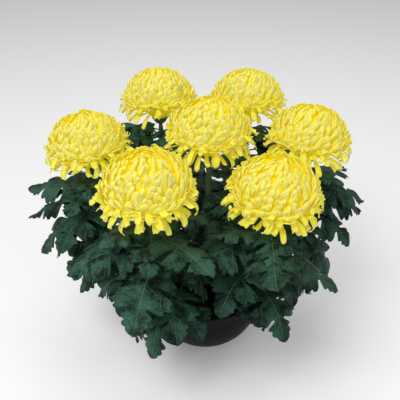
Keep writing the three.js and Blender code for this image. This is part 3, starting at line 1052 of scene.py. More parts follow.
@dataclass(frozen=True)
class Incurve:
    """How the florets of a bloom's body grow. A pair is for the lowest floret and the highest.

    Tips, roots and lengths are latitudes on the body. Foot is how far from the body's middle a
    floret starts, in shares of the body's size, first_rise is what it gains straight away and
    later_rise what it gains by its tip. Stand is how far tips stand free, flare how much further
    the low ones do, and scatter, stray and the like are how much a trait varies.
    """

    count: int = 436
    rows: int = 8
    lowest_tip: float = -16
    lowest_root: float = -60
    crowding: float = 0.68
    scatter: Pair = (11, 5)
    closing: float = 10
    length: Pair = (48, 14)
    uneven_length: float = 0.2
    width: Pair = (14.5, 8.5)
    uneven_width: float = 0.24
    thickness: float = 0.7
    sway: float = 7
    stray: Pair = (17, 8)
    roll: float = 8
    foot: Pair = (0.765, 0.7)
    first_rise: Pair = (0.08, 0.12)
    later_rise: Pair = (0.11, 0.16)
    stand: float = 0.03
    freedom: float = 0.04
    flare: float = 0.05

    def draws(self, seed: int) -> dict[Trait, Array]:
        """Draws for each trait one number from -1 to 1 for each floret.

        Args:
            seed: The stem's place in the list of stems.

        Returns:
            The numbers by trait, each shaped (florets, 1).
        """
        return {
            trait: np.array([jitter(1, seed, 400, i, trait.value) for i in range(self.count)])[:, None]
            for trait in Trait
        }

    def tips(self, vary: dict[Trait, Array]) -> tuple[Array, Array]:
        """The florets' tips, which are spread evenly over the body but crowd at its top.

        Args:
            vary: The draws for each trait.

        Returns:
            Each tip's latitude, and how high it stands, from 0 at the lowest to 1 at the pole.
        """
        floor = np.sin(np.radians(self.lowest_tip))
        place = (np.arange(self.count)[:, None] + 0.5) / self.count
        tip = np.degrees(np.arcsin(mix(floor, 1, place**self.crowding)))
        rising = smooth(tip, self.lowest_tip, self.lowest_tip + 60)
        tip = tip + mix(*self.scatter, rising) * vary[Trait.TIP]
        high = np.clip((tip - self.lowest_tip) / (90 - self.lowest_tip), 0, 1)
        return tip + self.closing * smooth(high, 0.7), high

    def shares(self, t: Array, high: Array, vary: dict[Trait, Array]) -> Array:
        """How far from the body's middle the florets run.

        Args:
            t: Places along a floret.
            high: How high each floret's tip stands.
            vary: The draws for each trait.

        Returns:
            Shares of the body's size, shaped (florets, rows).
        """
        top = high**2
        stand = vary[Trait.STAND]
        free = self.stand + self.stand * stand + self.freedom * np.maximum(vary[Trait.FREEDOM], 0)
        free = free + self.flare * smooth(high, 0.45, 0) * (1 + stand)
        share = mix(*self.foot, top) + mix(*self.first_rise, top) * smooth(t, 0, 0.2)
        share = share + mix(*self.later_rise, top) * t
        return share + 0.022 * vary[Trait.LENGTH] + free * smooth(t, 0.5) ** 1.4


@dataclass(frozen=True)
class Fall:
    """A row of loose florets that spread from under a bloom, each along a curve of its own.

    The root is a radius and a height in the bloom, reach and drop say how far out and down the
    tips come, and uneven is how much the drop varies. Hook is how far a floret dips below its
    tip, lift how far it rises first, and sway how far its tip strays to a side. Phase turns the
    row by a share of the way from one floret to the next, and row numbers its draws.
    """

    count: int
    root: Pair
    reach: float
    drop: float
    uneven: float
    width: float
    hook: float = 0
    lift: float = 6
    phase: float = 0
    row: int = 0
    sway: float = 13
    roll: float = 26
    thickness: float = 0.9
    rows: int = 11

    def draws(self, seed: int, size: float, trait: int) -> Array:
        """A number from -size to size for each floret, which in row 0 is the solids' own."""
        keys = range(self.count)
        return np.array([jitter(size, seed, 200 + 17 * self.row, i, trait) for i in keys])

    def paths(self, seed: int, t: Array) -> tuple[Array, Array]:
        """The florets' centre lines, each a Bezier curve that rises, bows out and hangs.

        Args:
            seed: The stem's place in the list of stems.
            t: Places along a floret.

        Returns:
            Points, shaped (florets, rows, 3), and the level direction that each floret takes.
        """
        step = 360 / self.count
        azimuth = step * (np.arange(self.count) + self.phase) + seed * 31
        azimuth = azimuth + self.draws(seed, step * 0.2, 0)
        out = heading(azimuth + self.draws(seed, 6, 1))
        drop = self.drop + self.draws(seed, self.uneven, 2)
        reach = self.reach + self.draws(seed, 5, 3)
        radius, height = self.root
        root = heading(azimuth) * radius + UP * height
        ways = (
            (0 * reach, 0 * drop),
            (reach * 0.8, 0 * drop - self.lift),
            (reach * 1.15, drop * 0.5 + self.hook),
            (reach + self.draws(seed, 8, 4), drop),
        )
        corners = [root + out * away[:, None] - UP * down[:, None] for away, down in ways]
        corners[3] += np.cross(UP, out) * self.draws(seed, self.sway, 5)[:, None]
        return bezier(np.stack(corners, 1), t), out


@dataclass(frozen=True)
class Bloom:
    """One incurved bloom: florets in a golden-angle spiral over a core, and rows of loose ones."""

    half_width: float = 71
    half_height: float = 56
    underside: float = 22
    seat: Pair = (19, -42)
    core: float = 0.84
    core_rows: int = 22
    core_sides: int = 48
    incurve: Incurve = Incurve()
    falls: tuple[Fall, ...] = (
        Fall(9, (28, -26), 40, 9, 11, 9.6),
        Fall(9, (30, -25), 41, 13, 12, 9.5, hook=7, phase=0.5, row=1),
        Fall(13, (40, -16), 36, 10, 12, 10.5, hook=8, phase=0.2, row=2),
        Fall(14, (46, -8), 30, 8, 11, 11, hook=9, phase=0.6, row=3),
        Fall(14, (50, 0), 25, 5, 10, 11, hook=9, lift=4, phase=0.1, row=4),
        Fall(12, (52, 6), 21, 2, 10, 10, hook=9, lift=4, phase=0.4, row=5),
    )

    def point(self, latitude: Array, azimuth: Array, share: Array | float) -> Array:
        """Points of the body: (W s cos(lat) cos(az), W s cos(lat) sin(az), H s sin(lat)).

        W is the half width, and H the half height above the middle or the flatter underside's.

        Args:
            latitude: Degrees above the body's widest level.
            azimuth: Degrees round its axis.
            share: How far from its middle, in shares of its size.

        Returns:
            The points, in the bloom's frame.
        """
        lat = np.radians(latitude)
        level = heading(azimuth) * (self.half_width * share * np.cos(lat))[..., None]
        high = np.where(latitude < 0, self.underside, self.half_height)
        return level + UP * (high * share * np.sin(lat))[..., None]

    def incurved(self, seed: int) -> tuple[Array, Array]:
        """The body's florets: each climbs over those above it, like a shingle, to a free tip.

        A floret's distance from the middle grows along it, so that a lower one's tip lies outside
        the lower half of the next. The lowest tips flare outwards and the highest close the top.

        Args:
            seed: The stem's place in the list of stems.

        Returns:
            Rings of points for all florets, and their marks: across, along, and how far out.
        """
        grow = self.incurve
        vary = grow.draws(seed)
        t = crowded(grow.rows)
        tip, high = grow.tips(vary)
        length = mix(*grow.length, high**1.5) * (1 + grow.uneven_length * vary[Trait.LENGTH])
        root = np.maximum(tip - length, grow.lowest_root)
        sway = (grow.sway + mix(*grow.stray, high) * vary[Trait.SWAY]) * t**1.5
        narrow = 1 / np.maximum(np.cos(np.radians(tip)), 0.4)
        azimuth = np.arange(grow.count)[:, None] * GOLDEN_ANGLE
        azimuth = azimuth + (4 * vary[Trait.PLACE] + sway) * narrow
        share = grow.shares(t, high, vary)
        path = self.point(mix(root, tip, t), azimuth, share)
        tangent = unit(np.gradient(path, axis=1))
        aside = square_to(tangent, np.cross(UP, heading(azimuth)))
        aside = turned(aside, tangent, grow.roll * vary[Trait.ROLL])
        width = mix(*grow.width, high) * (1 + grow.uneven_width * vary[Trait.WIDTH])
        half = width / 2 * tapered(t, 0.7, 0.76, 2.4)
        cup = 0.14 + 0.2 * smooth(t, 0.5) + 0.06 * vary[Trait.ROLL]
        strap = Strap()
        rings = strap.rings(path, aside, half, cup, grow.thickness)
        # The third mark is low deep inside the body, where the finish paints gold shade; on the top
        # florets it is lowered further for their own deeper gold.
        depth = smooth(share, 0.81, 0.95) * (1 - 0.35 * smooth(high, 0.6))
        marks = np.broadcast_arrays(np.array(strap.across), t[:, None], depth[..., None])
        return rings, np.stack(marks, -1)

    def loose(self, fall: Fall, seed: int) -> tuple[Array, Array]:
        """A row of channelled florets that bow out from their roots and hang.

        Args:
            fall: The row.
            seed: The stem's place in the list of stems.

        Returns:
            Rings of points for all florets, and their marks: 1 in the middle and 0 at the
            edges, along, and a share from 0.5 at the root to 0.95 at the tip, which leaves painted gold
            shade at the roots under the bloom.
        """
        t = crowded(fall.rows)
        path, out = fall.paths(seed, t)
        tangent = unit(np.gradient(path, axis=1))
        aside = square_to(tangent, np.cross(UP, out)[:, None])
        aside = turned(aside, tangent, fall.draws(seed, fall.roll, 6)[:, None] * t)
        width = fall.width * (1 + fall.draws(seed, 0.16, 7))[:, None]
        half = width / 2 * tapered(t, 0.5, 0.64, 2)
        strap = Strap()
        rings = strap.rings(path, aside, half, 0.45 - 0.35 * t + 0 * width, fall.thickness)
        middle = 1 - np.abs(np.array(strap.across))
        return rings, np.stack(np.broadcast_arrays(middle, t[:, None], 0.5 + 0.45 * t[:, None]), -1)

    def heart(self) -> Array:
        """The closed core that the florets stand out of.

        Two circles make its seat, and above them it is the body's own shape at a smaller share.

        Returns:
            Rings from its seat to its top, shaped (1, rows, cols, 3).
        """
        radius, height = self.seat
        seat = lathe(np.array([[0.9 * radius, height + 0.3], [radius, height + 3]]), self.core_sides)
        azimuth = np.arange(self.core_sides) * 360 / self.core_sides
        latitude = np.linspace(-38, 88, self.core_rows)[:, None] + 0 * azimuth
        dome = self.point(latitude, azimuth[None] + 0 * latitude, self.core)
        return np.concatenate([seat, dome])[None]

    def build(self, stem: Stem, seed: int, material: Material) -> Piece:
        """Makes the bloom of a stem.

        Args:
            stem: The stem that carries it.
            seed: The stem's place in the list of stems.
            material: The florets' material.

        Returns:
            The piece.
        """
        skin = Skin()
        for rings, marks in (self.incurved(seed), *(self.loose(fall, seed) for fall in self.falls)):
            tones = [draw(seed, 500, i, len(rings)) for i in range(len(rings))]
            skin.add(stem.from_bloom(rings), marks, np.array(tones))
        # The core keeps the marks (0, 0, 0), so the finish paints it wholly in gold shade with the full
        # golden glow.
        skin.add(stem.from_bloom(self.heart()))
        return place_piece(skin.mesh(f"Bloom.{stem.name}"), [material], f"bloom_{stem.name}")


# ---- Bowl and soil ----------------------------------------------------------------------------


@dataclass(frozen=True)
class Bowl:
    """The bowl: a flat base, a round belly that is part of a sphere, and a rolled lip."""

    base_radius: float = 56
    belly_radius: float = 116
    height: float = 128
    wall: float = 3
    lip_width: float = 4
    lip_depth: float = 9
    bead: float = 2
    segments: int = 128
    holes: int = 4
    hole_radius: float = 5
    hole_circle: float = 34
    hole_sides: int = 40

    @property
    def belly_height(self) -> float:
        """The height where the belly's round ends."""
        return (self.belly_radius**2 - self.base_radius**2) ** 0.5

    def radius(self, height: Array | float, inset: float = 0) -> Array:
        """The radius of an inset skin at a height: a sphere's below belly_height and constant above."""
        below = np.minimum(np.asarray(height) - self.belly_height, 0)
        return np.sqrt((self.belly_radius - inset) ** 2 - below**2)

    def skin(self, start: float, end: float, inset: float, steps: int) -> Array:
        """Profile points of the belly between two heights: radius, height."""
        heights = np.linspace(start, end, steps)
        return np.stack([self.radius(heights, inset), heights], -1)

    def profile(self) -> Array:
        """The whole section, which is turned about the upright axis.

        Returns:
            Radii and heights, from the middle of the base round the lip to the inner floor.
        """
        r, top, wall, bead = self.belly_radius, self.height, self.wall, self.bead
        edge, under, base = r + self.lip_width, top - self.lip_depth, self.base_radius
        turn = np.radians(np.linspace(-90, 90, 10)[4:])
        roll = np.stack([edge - bead + bead * np.cos(turn), top - bead + bead * np.sin(turn)], -1)
        outside = self.skin(2, self.belly_height, 0, 26)
        inside = self.skin(wall + 3, self.belly_height, wall, 20)[::-1]
        lip = [[r, under - 1], [r + 0.4, under], [edge - 0.8, under + 0.6], [edge, under + 1.6]]
        foot = [[0.5, 0], [base * 0.5, 0], [base - 1, 0], [base + 0.6, 0.5]]
        rim = [[r - wall + 1, top], [r - wall, top - 1]]
        floor = self.radius(wall, wall)
        bottom = [[floor, wall + 0.6], [floor - 2, wall], [0.5, wall]]
        return np.array([*foot, *outside, *lip, [edge, top - 4.4], *roll, *rim, *inside, *bottom])

    def build(self, material: Material) -> Piece:
        """Makes the bowl: its section turned about the upright axis, with drain holes cut out.

        Args:
            material: The bowl's material.

        Returns:
            The piece.
        """
        skin = Skin()
        skin.add(lathe(self.profile(), self.segments)[None])
        piece = place_piece(skin.mesh("Bowl"), [material], "bowl")
        self.drill(piece)
        return piece

    def drill(self, piece: Piece) -> None:
        """Cuts the drain holes through the base of a piece, by taking cylinders away.

        Args:
            piece: The piece, which gets the new mesh.
        """
        ends = np.array([[self.hole_radius, -4], [self.hole_radius, self.wall + 4]])
        middles = heading((np.arange(self.holes) + 0.5) * 360 / self.holes) * self.hole_circle
        skin = Skin()
        skin.add(middles[:, None, None] + lathe(ends, self.hole_sides))
        tool = bpy.data.objects.new("Drill", skin.mesh("Drill"))
        bpy.context.scene.collection.objects.link(tool)
        cut = piece.modifiers.new("Drain holes", "BOOLEAN")
        cut.operation, cut.solver, cut.object = "DIFFERENCE", "EXACT", tool
        graph = bpy.context.evaluated_depsgraph_get()
        mesh = bpy.data.meshes.new_from_object(piece.evaluated_get(graph))
        piece.modifiers.clear()
        piece.data = mesh
        bpy.data.objects.remove(tool)


@dataclass(frozen=True)
class Soil:
    """Dark compost in the bowl, heaped a little in the middle, with crumbs on it.

    Relief gives the height and the width of the broad lumps of its top and of the fine ones.
    """

    edge: float = 112
    crown: float = 117
    gap: float = 0.3
    segments: int = 96
    relief: tuple[Pair, Pair] = ((1.5, 4.5), (0.9, 1.7))
    crumbs: int = 420
    crumb_radius: Pair = (1.1, 3.2)
    crumb_sides: int = 7

    def top(self, radius: Array, rim: float) -> Array:
        """The surface's height, which falls from the crown with the square of the radius."""
        return mix(self.crown, self.edge, (radius / rim) ** 2)

    def build(self, bowl: Bowl, material: Material) -> Piece:
        """Makes the soil: a turned body whose top is lumpy, and loose crumbs lying on it.

        Args:
            bowl: The bowl that holds it.
            material: The soil's material.

        Returns:
            The piece.
        """
        inset = bowl.wall + self.gap
        rim = float(bowl.radius(self.edge, inset))
        side = bowl.skin(inset, self.edge, inset, 12)
        across = np.linspace(1, 0.004, 60)[1:] * rim
        cover = np.stack([across, self.top(across, rim)], -1)
        rings = lathe(np.concatenate([[[0.5, inset]], side, cover]), self.segments)
        inner = np.append(np.zeros(len(side) + 1), smooth(across, rim, rim - 4))[:, None]
        (broad, width), (fine, fine_width) = self.relief
        rings[..., 2] += inner * (broad * lumps(rings, width, 5) + fine * lumps(rings, fine_width, 6))
        skin = Skin()
        skin.add(rings[None])
        self.scatter(skin, rim)
        return place_piece(skin.mesh("Soil"), [material], "soil")

    def scatter(self, skin: Skin, rim: float) -> None:
        """Adds crumbs of peat and bark, strewn evenly over the surface.

        A crumb is a ball of a few circles, squashed along its axes and swollen by lumps.

        Args:
            skin: Takes the crumbs.
            rim: The radius of the soil's surface.
        """
        rng = np.random.default_rng(12)
        off = np.sqrt(rng.uniform(0, 0.94, self.crumbs)) * rim
        spot = heading(rng.uniform(0, 360, self.crumbs)) * off[:, None]
        spot[:, 2] = self.top(off, rim) + 0.4
        spot = spot[:, None, None]
        size = rng.uniform(*self.crumb_radius, (self.crumbs, 1, 1, 1))
        squash = rng.uniform(0.5, 1.3, (self.crumbs, 1, 1, 3)) * [1, 1, 0.7]
        latitude = np.radians([-70, -30, 10, 45, 75])
        ball = lathe(np.stack([np.cos(latitude), np.sin(latitude)], -1), self.crumb_sides)
        crumb = ball[None] * size * squash
        crumb = crumb * (1 + 0.22 * lumps(crumb + spot, 1.3, 7))[..., None]
        skin.add(crumb + spot, (1, 0, 0), rng.uniform(0, 1, self.crumbs))


# ---- Finishes ---------------------------------------------------------------------------------


class Coordinate(Enum):
    """What a pattern follows."""

    OBJECT = "object"
    MARK = "mark"
    TONE = "tone"


class Kind(Enum):
    """What a node group's socket carries."""

    NUMBER = "NodeSocketFloat"
    PLACE = "NodeSocketVector"
    COLOUR = "NodeSocketColor"


class Graph:
    """A node tree with short calls to fill it."""

    def __init__(self, tree: Tree) -> None:
        """Takes the tree."""
        self.tree = tree

    def feed(self, node: Node, inputs: Inputs) -> None:
        """Links sockets to a node's inputs, or sets values there.

        Args:
            node: The node.
            inputs: Sockets or values by the input's name or place; a colour is three numbers.
        """
        for key, value in inputs.items():
            socket = node.inputs[key]
            if isinstance(value, Socket):
                self.tree.links.new(value, socket)
            else:
                socket.default_value = (*value, 1) if socket.type == "RGBA" else value

    def node(self, kind: str, inputs: Inputs | None = None, **settings: object) -> Node:
        """Adds a node.

        Args:
            kind: The node's type name, without its ShaderNode prefix.
            inputs: Values or sockets for its inputs, by name or place.
            settings: Its other properties.

        Returns:
            The node.
        """
        node = self.tree.nodes.new(f"ShaderNode{kind}")
        for name, value in settings.items():
            setattr(node, name, value)
        self.feed(node, inputs or {})
        return node

    def math(self, operation: str, *values: Socket | float, clamp: bool = False) -> Socket:
        """The result of a Math node."""
        inputs = dict(enumerate(values))
        return self.node("Math", inputs, operation=operation, use_clamp=clamp).outputs[0]

    def vector(self, operation: str, *values: Socket, result: int = 0) -> Socket:
        """The result of a Vector Math node."""
        return self.node("VectorMath", dict(enumerate(values)), operation=operation).outputs[result]

    def span(
        self, value: Socket, low: float, high: float, at_low: float = 0, at_high: float = 1
    ) -> Socket:
        """Value carried smoothly from the span low to high to the span at_low to at_high."""
        inputs = {0: value, 1: low, 2: high, 3: at_low, 4: at_high}
        return self.node("MapRange", inputs, interpolation_type="SMOOTHSTEP").outputs[0]

    def blend(self, share: Socket, a: Socket | Colour, b: Socket | Colour) -> Socket:
        """A colour between two others."""
        return self.node("Mix", {0: share, 6: a, 7: b}, data_type="RGBA").outputs[2]

    def noise(self, place: Socket, scale: Socket | float, detail: float) -> Socket:
        """The value of a Noise Texture."""
        inputs = {"Vector": place, "Scale": scale, "Detail": detail}
        return self.node("TexNoise", inputs).outputs["Fac"]

    def join(self, x: Socket, y: Socket, z: Socket | float = 0) -> Socket:
        """A vector put together from three numbers."""
        return self.node("CombineXYZ", {0: x, 1: y, 2: z}).outputs[0]

    def parts(self, vector: Socket) -> tuple[Socket, Socket, Socket]:
        """The three numbers of a vector."""
        return tuple(self.node("SeparateXYZ", {0: vector}).outputs)

    def place(self, what: Coordinate) -> Socket:
        """The coordinate or attribute that a pattern follows.

        Args:
            what: Which one.

        Returns:
            Its socket.
        """
        if what is Coordinate.OBJECT:
            return self.node("TexCoord").outputs["Object"]
        output = "Vector" if what is Coordinate.MARK else "Fac"
        return self.node("Attribute", attribute_name=what.value).outputs[output]

    def group(self, tree: Tree, **inputs: object) -> bpy.types.NodeOutputs:
        """The outputs of a node group's copy, with its inputs set by name."""
        named = {name.replace("_", " "): value for name, value in inputs.items()}
        return self.node("Group", named, node_tree=tree).outputs

    def bump(self, height: Socket, strength: float, distance: float) -> Socket:
        """The normal of a surface that is raised by a height; distance is in metres."""
        inputs = {"Height": height, "Strength": strength, "Distance": distance}
        return self.node("Bump", inputs).outputs["Normal"]


def new_group(
    name: str, inputs: dict[str, Kind], outputs: dict[str, Kind]
) -> tuple[Graph, list[Socket], Node]:
    """Starts a shader node group.

    Args:
        name: The group's name.
        inputs: What each input carries, by name.
        outputs: The same for each output.

    Returns:
        The group's graph, its inputs' sockets in order, and its output node.
    """
    tree = bpy.data.node_groups.new(name, "ShaderNodeTree")
    for kinds, way in ((inputs, "INPUT"), (outputs, "OUTPUT")):
        for socket, kind in kinds.items():
            tree.interface.new_socket(name=socket, in_out=way, socket_type=kind.value)
    given, result = tree.nodes.new("NodeGroupInput"), tree.nodes.new("NodeGroupOutput")
    return Graph(tree), [given.outputs[socket] for socket in inputs], result


def mottle_group() -> Tree:
    """Uneven colour: two noises, coarse and fine, that fade one colour into another.

    Returns:
        The group's tree.
    """
    inputs = {"Place": Kind.PLACE, "Scale": Kind.NUMBER, "Amount": Kind.NUMBER}
    inputs |= {"Colour": Kind.COLOUR, "Other colour": Kind.COLOUR}
    outputs = {"Colour": Kind.COLOUR, "Value": Kind.NUMBER}
    graph, (place, scale, amount, colour, other), result = new_group("Mottle", inputs, outputs)
    coarse = graph.math("MULTIPLY", graph.noise(place, scale, 2), 0.65)
    fine = graph.math("MULTIPLY", graph.noise(place, graph.math("MULTIPLY", scale, 6), 4), 0.35)
    value = graph.math("MULTIPLY", graph.span(graph.math("ADD", coarse, fine), 0.34, 0.66), amount)
    graph.feed(result, {"Colour": graph.blend(value, colour, other), "Value": value})
    return graph.tree


def grain_group() -> Tree:
    """Fine relief: a height in which a grain and a broader unevenness are added.

    Returns:
        The group's tree.
    """
    inputs = {"Place": Kind.PLACE, "Scale": Kind.NUMBER, "Broad": Kind.NUMBER}
    graph, (place, scale, broad), result = new_group("Grain", inputs, {"Height": Kind.NUMBER})
    uneven = graph.noise(place, graph.math("MULTIPLY", scale, 0.12), 1)
    height = graph.math("ADD", graph.noise(place, scale, 3), graph.math("MULTIPLY", uneven, broad))
    graph.feed(result, {"Height": height})
    return graph.tree


def vein_group() -> Tree:
    """A vein of a leaf: 1 on the straight line between two places of the blade, 0 off it.

    The distance to the line is that to the nearest point of it, and the vein thins towards its
    far end by half.

    Returns:
        The group's tree.
    """
    inputs = {"Place": Kind.PLACE, "From": Kind.PLACE, "To": Kind.PLACE, "Width": Kind.NUMBER}
    graph, (place, start, end, width), result = new_group("Vein", inputs, {"Vein": Kind.NUMBER})
    way = graph.vector("SUBTRACT", end, start)
    gone = graph.vector("SUBTRACT", place, start)
    ahead = graph.vector("DOT_PRODUCT", gone, way, result=1)
    whole = graph.vector("DOT_PRODUCT", way, way, result=1)
    share = graph.math("DIVIDE", ahead, whole, clamp=True)
    nearest = graph.node("VectorMath", {0: way, "Scale": share}, operation="SCALE").outputs[0]
    off = graph.vector("LENGTH", graph.vector("SUBTRACT", gone, nearest), result=1)
    thinned = graph.math("MULTIPLY", width, graph.math("MULTIPLY_ADD", share, -0.5, 1))
    ratio = graph.math("DIVIDE", off, thinned)
    graph.feed(result, {"Vein": graph.span(ratio, 0.35, 1, 1, 0)})
    return graph.tree


@dataclass(frozen=True)
class Groups:
    """The node groups that the finishes share."""

    mottle: Tree
    grain: Tree
    vein: Tree

    @classmethod
    def make(cls) -> Groups:
        """Builds each group once."""
        return cls(mottle_group(), grain_group(), vein_group())


def new_material(name: str, fixed: Inputs) -> tuple[Graph, Node, Material]:
    """Starts a material.

    Args:
        name: The material's name.
        fixed: Values for the shader's own sockets, by name.

    Returns:
        The material's graph, its shader and the material.
    """
    material = bpy.data.materials.new(name)
    material.use_nodes = True
    graph = Graph(material.node_tree)
    shader = material.node_tree.nodes["Principled BSDF"]
    graph.feed(shader, fixed)
    return graph, shader, material


@dataclass(frozen=True)
class Finish:
    """A finish of the plant: its material's name, the shader's fixed values and what varies."""

    NAME = "Finish"
    FIXED = {}

    def paint(self, graph: Graph, groups: Groups) -> dict[str, Socket]:
        """Works out what changes over the surface.

        Args:
            graph: The material's graph.
            groups: The node groups that the finishes share.

        Returns:
            The socket that feeds each of the shader's inputs, by the input's name.
        """
        raise NotImplementedError

    def material(self, groups: Groups) -> Material:
        """Builds the material.

        Args:
            groups: The node groups that the finishes share.

        Returns:
            The material.
        """
        graph, shader, material = new_material(self.NAME, self.FIXED)
        graph.feed(shader, self.paint(graph, groups))
        return material


@dataclass(frozen=True)
class BowlFinish(Finish):
    """Matt black moulded plastic with a faint grain and a little dust."""

    NAME = "Black bowl plastic"
    FIXED = {"Specular IOR Level": 0.08}
    black: Colour = (0.004, 0.004, 0.0045)
    dust: Colour = (0.012, 0.012, 0.0125)

    def paint(self, graph: Graph, groups: Groups) -> dict[str, Socket]:
        """Black, greyer and rougher where dust lies, with a fine grain.

        Args:
            graph: The material's graph.
            groups: The node groups that the finishes share.

        Returns:
            The socket that feeds each of the shader's inputs, by the input's name.
        """
        place = graph.place(Coordinate.OBJECT)
        mottle = graph.group(
            groups.mottle, Place=place, Scale=14, Amount=0.6, Colour=self.black, Other_colour=self.dust
        )
        grain = graph.group(groups.grain, Place=place, Scale=900, Broad=2)
        return {
            "Base Color": mottle["Colour"],
            "Roughness": graph.math("MULTIPLY_ADD", mottle["Value"], 0.16, 0.42),
            "Normal": graph.bump(grain["Height"], 0.25, 0.0003),
        }


@dataclass(frozen=True)
class SoilFinish(Finish):
    """Loose dark compost with paler crumbs."""

    NAME = "Potting compost"
    FIXED = {"Roughness": 0.95, "Specular IOR Level": 0.2}
    dark: Colour = (0.012, 0.008, 0.006)
    brown: Colour = (0.05, 0.032, 0.02)
    crumb: Colour = (0.09, 0.06, 0.038)

    def paint(self, graph: Graph, groups: Groups) -> dict[str, Socket]:
        """Dark and brown patches, and crumbs that are the paler the higher their tone.

        Args:
            graph: The material's graph.
            groups: The node groups that the finishes share.

        Returns:
            The socket that feeds each of the shader's inputs, by the input's name.
        """
        place = graph.place(Coordinate.OBJECT)
        mottle = graph.group(
            groups.mottle, Place=place, Scale=120, Amount=1, Colour=self.dark, Other_colour=self.brown
        )
        is_crumb, _, _ = graph.parts(graph.place(Coordinate.MARK))
        pale = graph.math("MULTIPLY", is_crumb, graph.place(Coordinate.TONE))
        grain = graph.group(groups.grain, Place=place, Scale=700, Broad=3)
        return {
            "Base Color": graph.blend(pale, mottle["Colour"], self.crumb),
            "Normal": graph.bump(grain["Height"], 0.9, 0.0012),
        }


@dataclass(frozen=True)
class StemFinish(Finish):
    """Green stems that turn woody and brownish towards the soil, between two heights in metres."""

    NAME = "Green stem"
    FIXED = {"Specular IOR Level": 0.4, "Roughness": 0.55}
    green: Colour = (0.05, 0.11, 0.035)
    pale: Colour = (0.11, 0.19, 0.07)
    wood: Colour = (0.055, 0.045, 0.022)
    woody: Pair = (0.12, 0.25)

    def paint(self, graph: Graph, groups: Groups) -> dict[str, Socket]:
        """Upright streaks of two greens, which give way to wood.

        Args:
            graph: The material's graph.
            groups: The node groups that the finishes share.

        Returns:
            The socket that feeds each of the shader's inputs, by the input's name.
        """
        place = graph.place(Coordinate.OBJECT)
        streaks = graph.node("Mapping", {"Vector": place, "Scale": (1, 1, 0.12)}).outputs[0]
        mottle = graph.group(
            groups.mottle,
            Place=streaks,
            Scale=160,
            Amount=0.8,
            Colour=self.green,
            Other_colour=self.pale,
        )
        _, _, height = graph.parts(place)
        grain = graph.group(groups.grain, Place=streaks, Scale=1500, Broad=1)
        wood = graph.span(height, *self.woody, 1, 0)
        return {
            "Base Color": graph.blend(wood, mottle["Colour"], self.wood),
            "Normal": graph.bump(grain["Height"], 0.4, 0.0004),
        }


@dataclass(frozen=True)
class LeafFinish(Finish):
    """Dark blue-green leaves with pale veins and a paler underside. On top, pale grey-blue patches
    are the leaf's waxy bloom and a painted highlight at once, and they are fewer on the lower
    leaves as painted shade.

    A vein runs from one place of the half blade to another, along and aside, and has a width.
    """

    NAME = "Chrysanthemum leaf"
    FIXED = {"Specular IOR Level": 0.13}
    deep: Colour = (0.001, 0.008, 0.003)
    blue: Colour = (0.028, 0.103, 0.06)
    sheen: Colour = (0.055, 0.145, 0.11)
    vein: Colour = (0.14, 0.26, 0.17)
    under: Colour = (0.045, 0.085, 0.055)
    veins: tuple[tuple[Pair, Pair, float], ...] = (
        ((-0.1, 0.0), (0.99, 0.0), 0.012),
        ((0.02, 0.0), (0.165, 0.36), 0.006),
        ((0.34, 0.0), (0.55, 0.37), 0.006),
        ((0.6, 0.0), (0.77, 0.19), 0.005),
        ((0.72, 0.0), (0.87, 0.15), 0.004),
        ((0.17, 0.0), (0.29, 0.39), 0.004),
        ((0.065, 0.11), (0.065, 0.26), 0.005),
        ((0.43, 0.155), (0.47, 0.37), 0.005),
        ((0.47, 0.22), (0.68, 0.28), 0.005),
    )

    def lines(self, graph: Graph, groups: Groups, spot: Socket) -> Socket:
        """Draws all veins of the blade, and takes the strongest of them at a place.

        Args:
            graph: The material's graph.
            groups: The node groups that the finishes share.
            spot: Places on the blade, along and aside, folded over the midrib.

        Returns:
            The veins' strength.
        """
        lines = None
        for start, end, width in self.veins:
            ends = {"From": (*start, 0), "To": (*end, 0)}
            line = graph.group(groups.vein, Place=spot, Width=width, **ends)["Vein"]
            lines = line if lines is None else graph.math("MAXIMUM", lines, line)
        return lines

    def paint(self, graph: Graph, groups: Groups) -> dict[str, Socket]:
        """Patterns that follow the blade, along and aside of its midrib, and differ by leaf.

        Args:
            graph: The material's graph.
            groups: The node groups that the finishes share.

        Returns:
            The socket that feeds each of the shader's inputs, by the input's name.
        """
        along, aside, upper = graph.parts(graph.place(Coordinate.MARK))
        tone = graph.place(Coordinate.TONE)
        lines = self.lines(graph, groups, graph.join(along, graph.math("ABSOLUTE", aside)))
        own = graph.join(along, aside, graph.math("MULTIPLY", tone, 9))
        mottle = graph.group(
            groups.mottle, Place=own, Scale=5, Amount=0.68, Colour=self.deep, Other_colour=self.blue
        )
        # Quilted cells, lighter in their middles: they shape the bump and place the painted highlight.
        net = graph.node("TexVoronoi", {"Vector": own, "Scale": 22}, feature="DISTANCE_TO_EDGE")
        cells = graph.span(net.outputs["Distance"], 0, 0.3, 0.6, 1)
        # The pale patches sit in the middle of the quilted cells where the mottle allows: the leaf's
        # waxy bloom and a painted highlight on the raised quilting at once.
        patches = graph.math("MULTIPLY", cells, mottle["Value"])
        # Leaves of higher tone get more of the pale patches; as the tone follows the height on the
        # stem, the lower leaves stay darker as painted shade.
        pale = graph.math("MULTIPLY", graph.span(tone, 0.3, 0.95, 0.4, 1.5), patches, clamp=True)
        bloom_and_highlight = graph.blend(pale, mottle["Colour"], self.sheen)
        faced = graph.blend(upper, self.under, bloom_and_highlight)
        grain = graph.group(groups.grain, Place=own, Scale=90, Broad=4)
        quilt = graph.math("MULTIPLY", graph.math("ADD", cells, grain["Height"]), 0.5)
        height = graph.math("SUBTRACT", quilt, graph.math("MULTIPLY", lines, 0.9))
        return {
            "Base Color": graph.blend(graph.math("MULTIPLY", lines, 0.5), faced, self.vein),
            "Roughness": graph.math("MULTIPLY_ADD", mottle["Value"], 0.15, 0.46),
            "Normal": graph.bump(height, 0.65, 0.0015),
        }


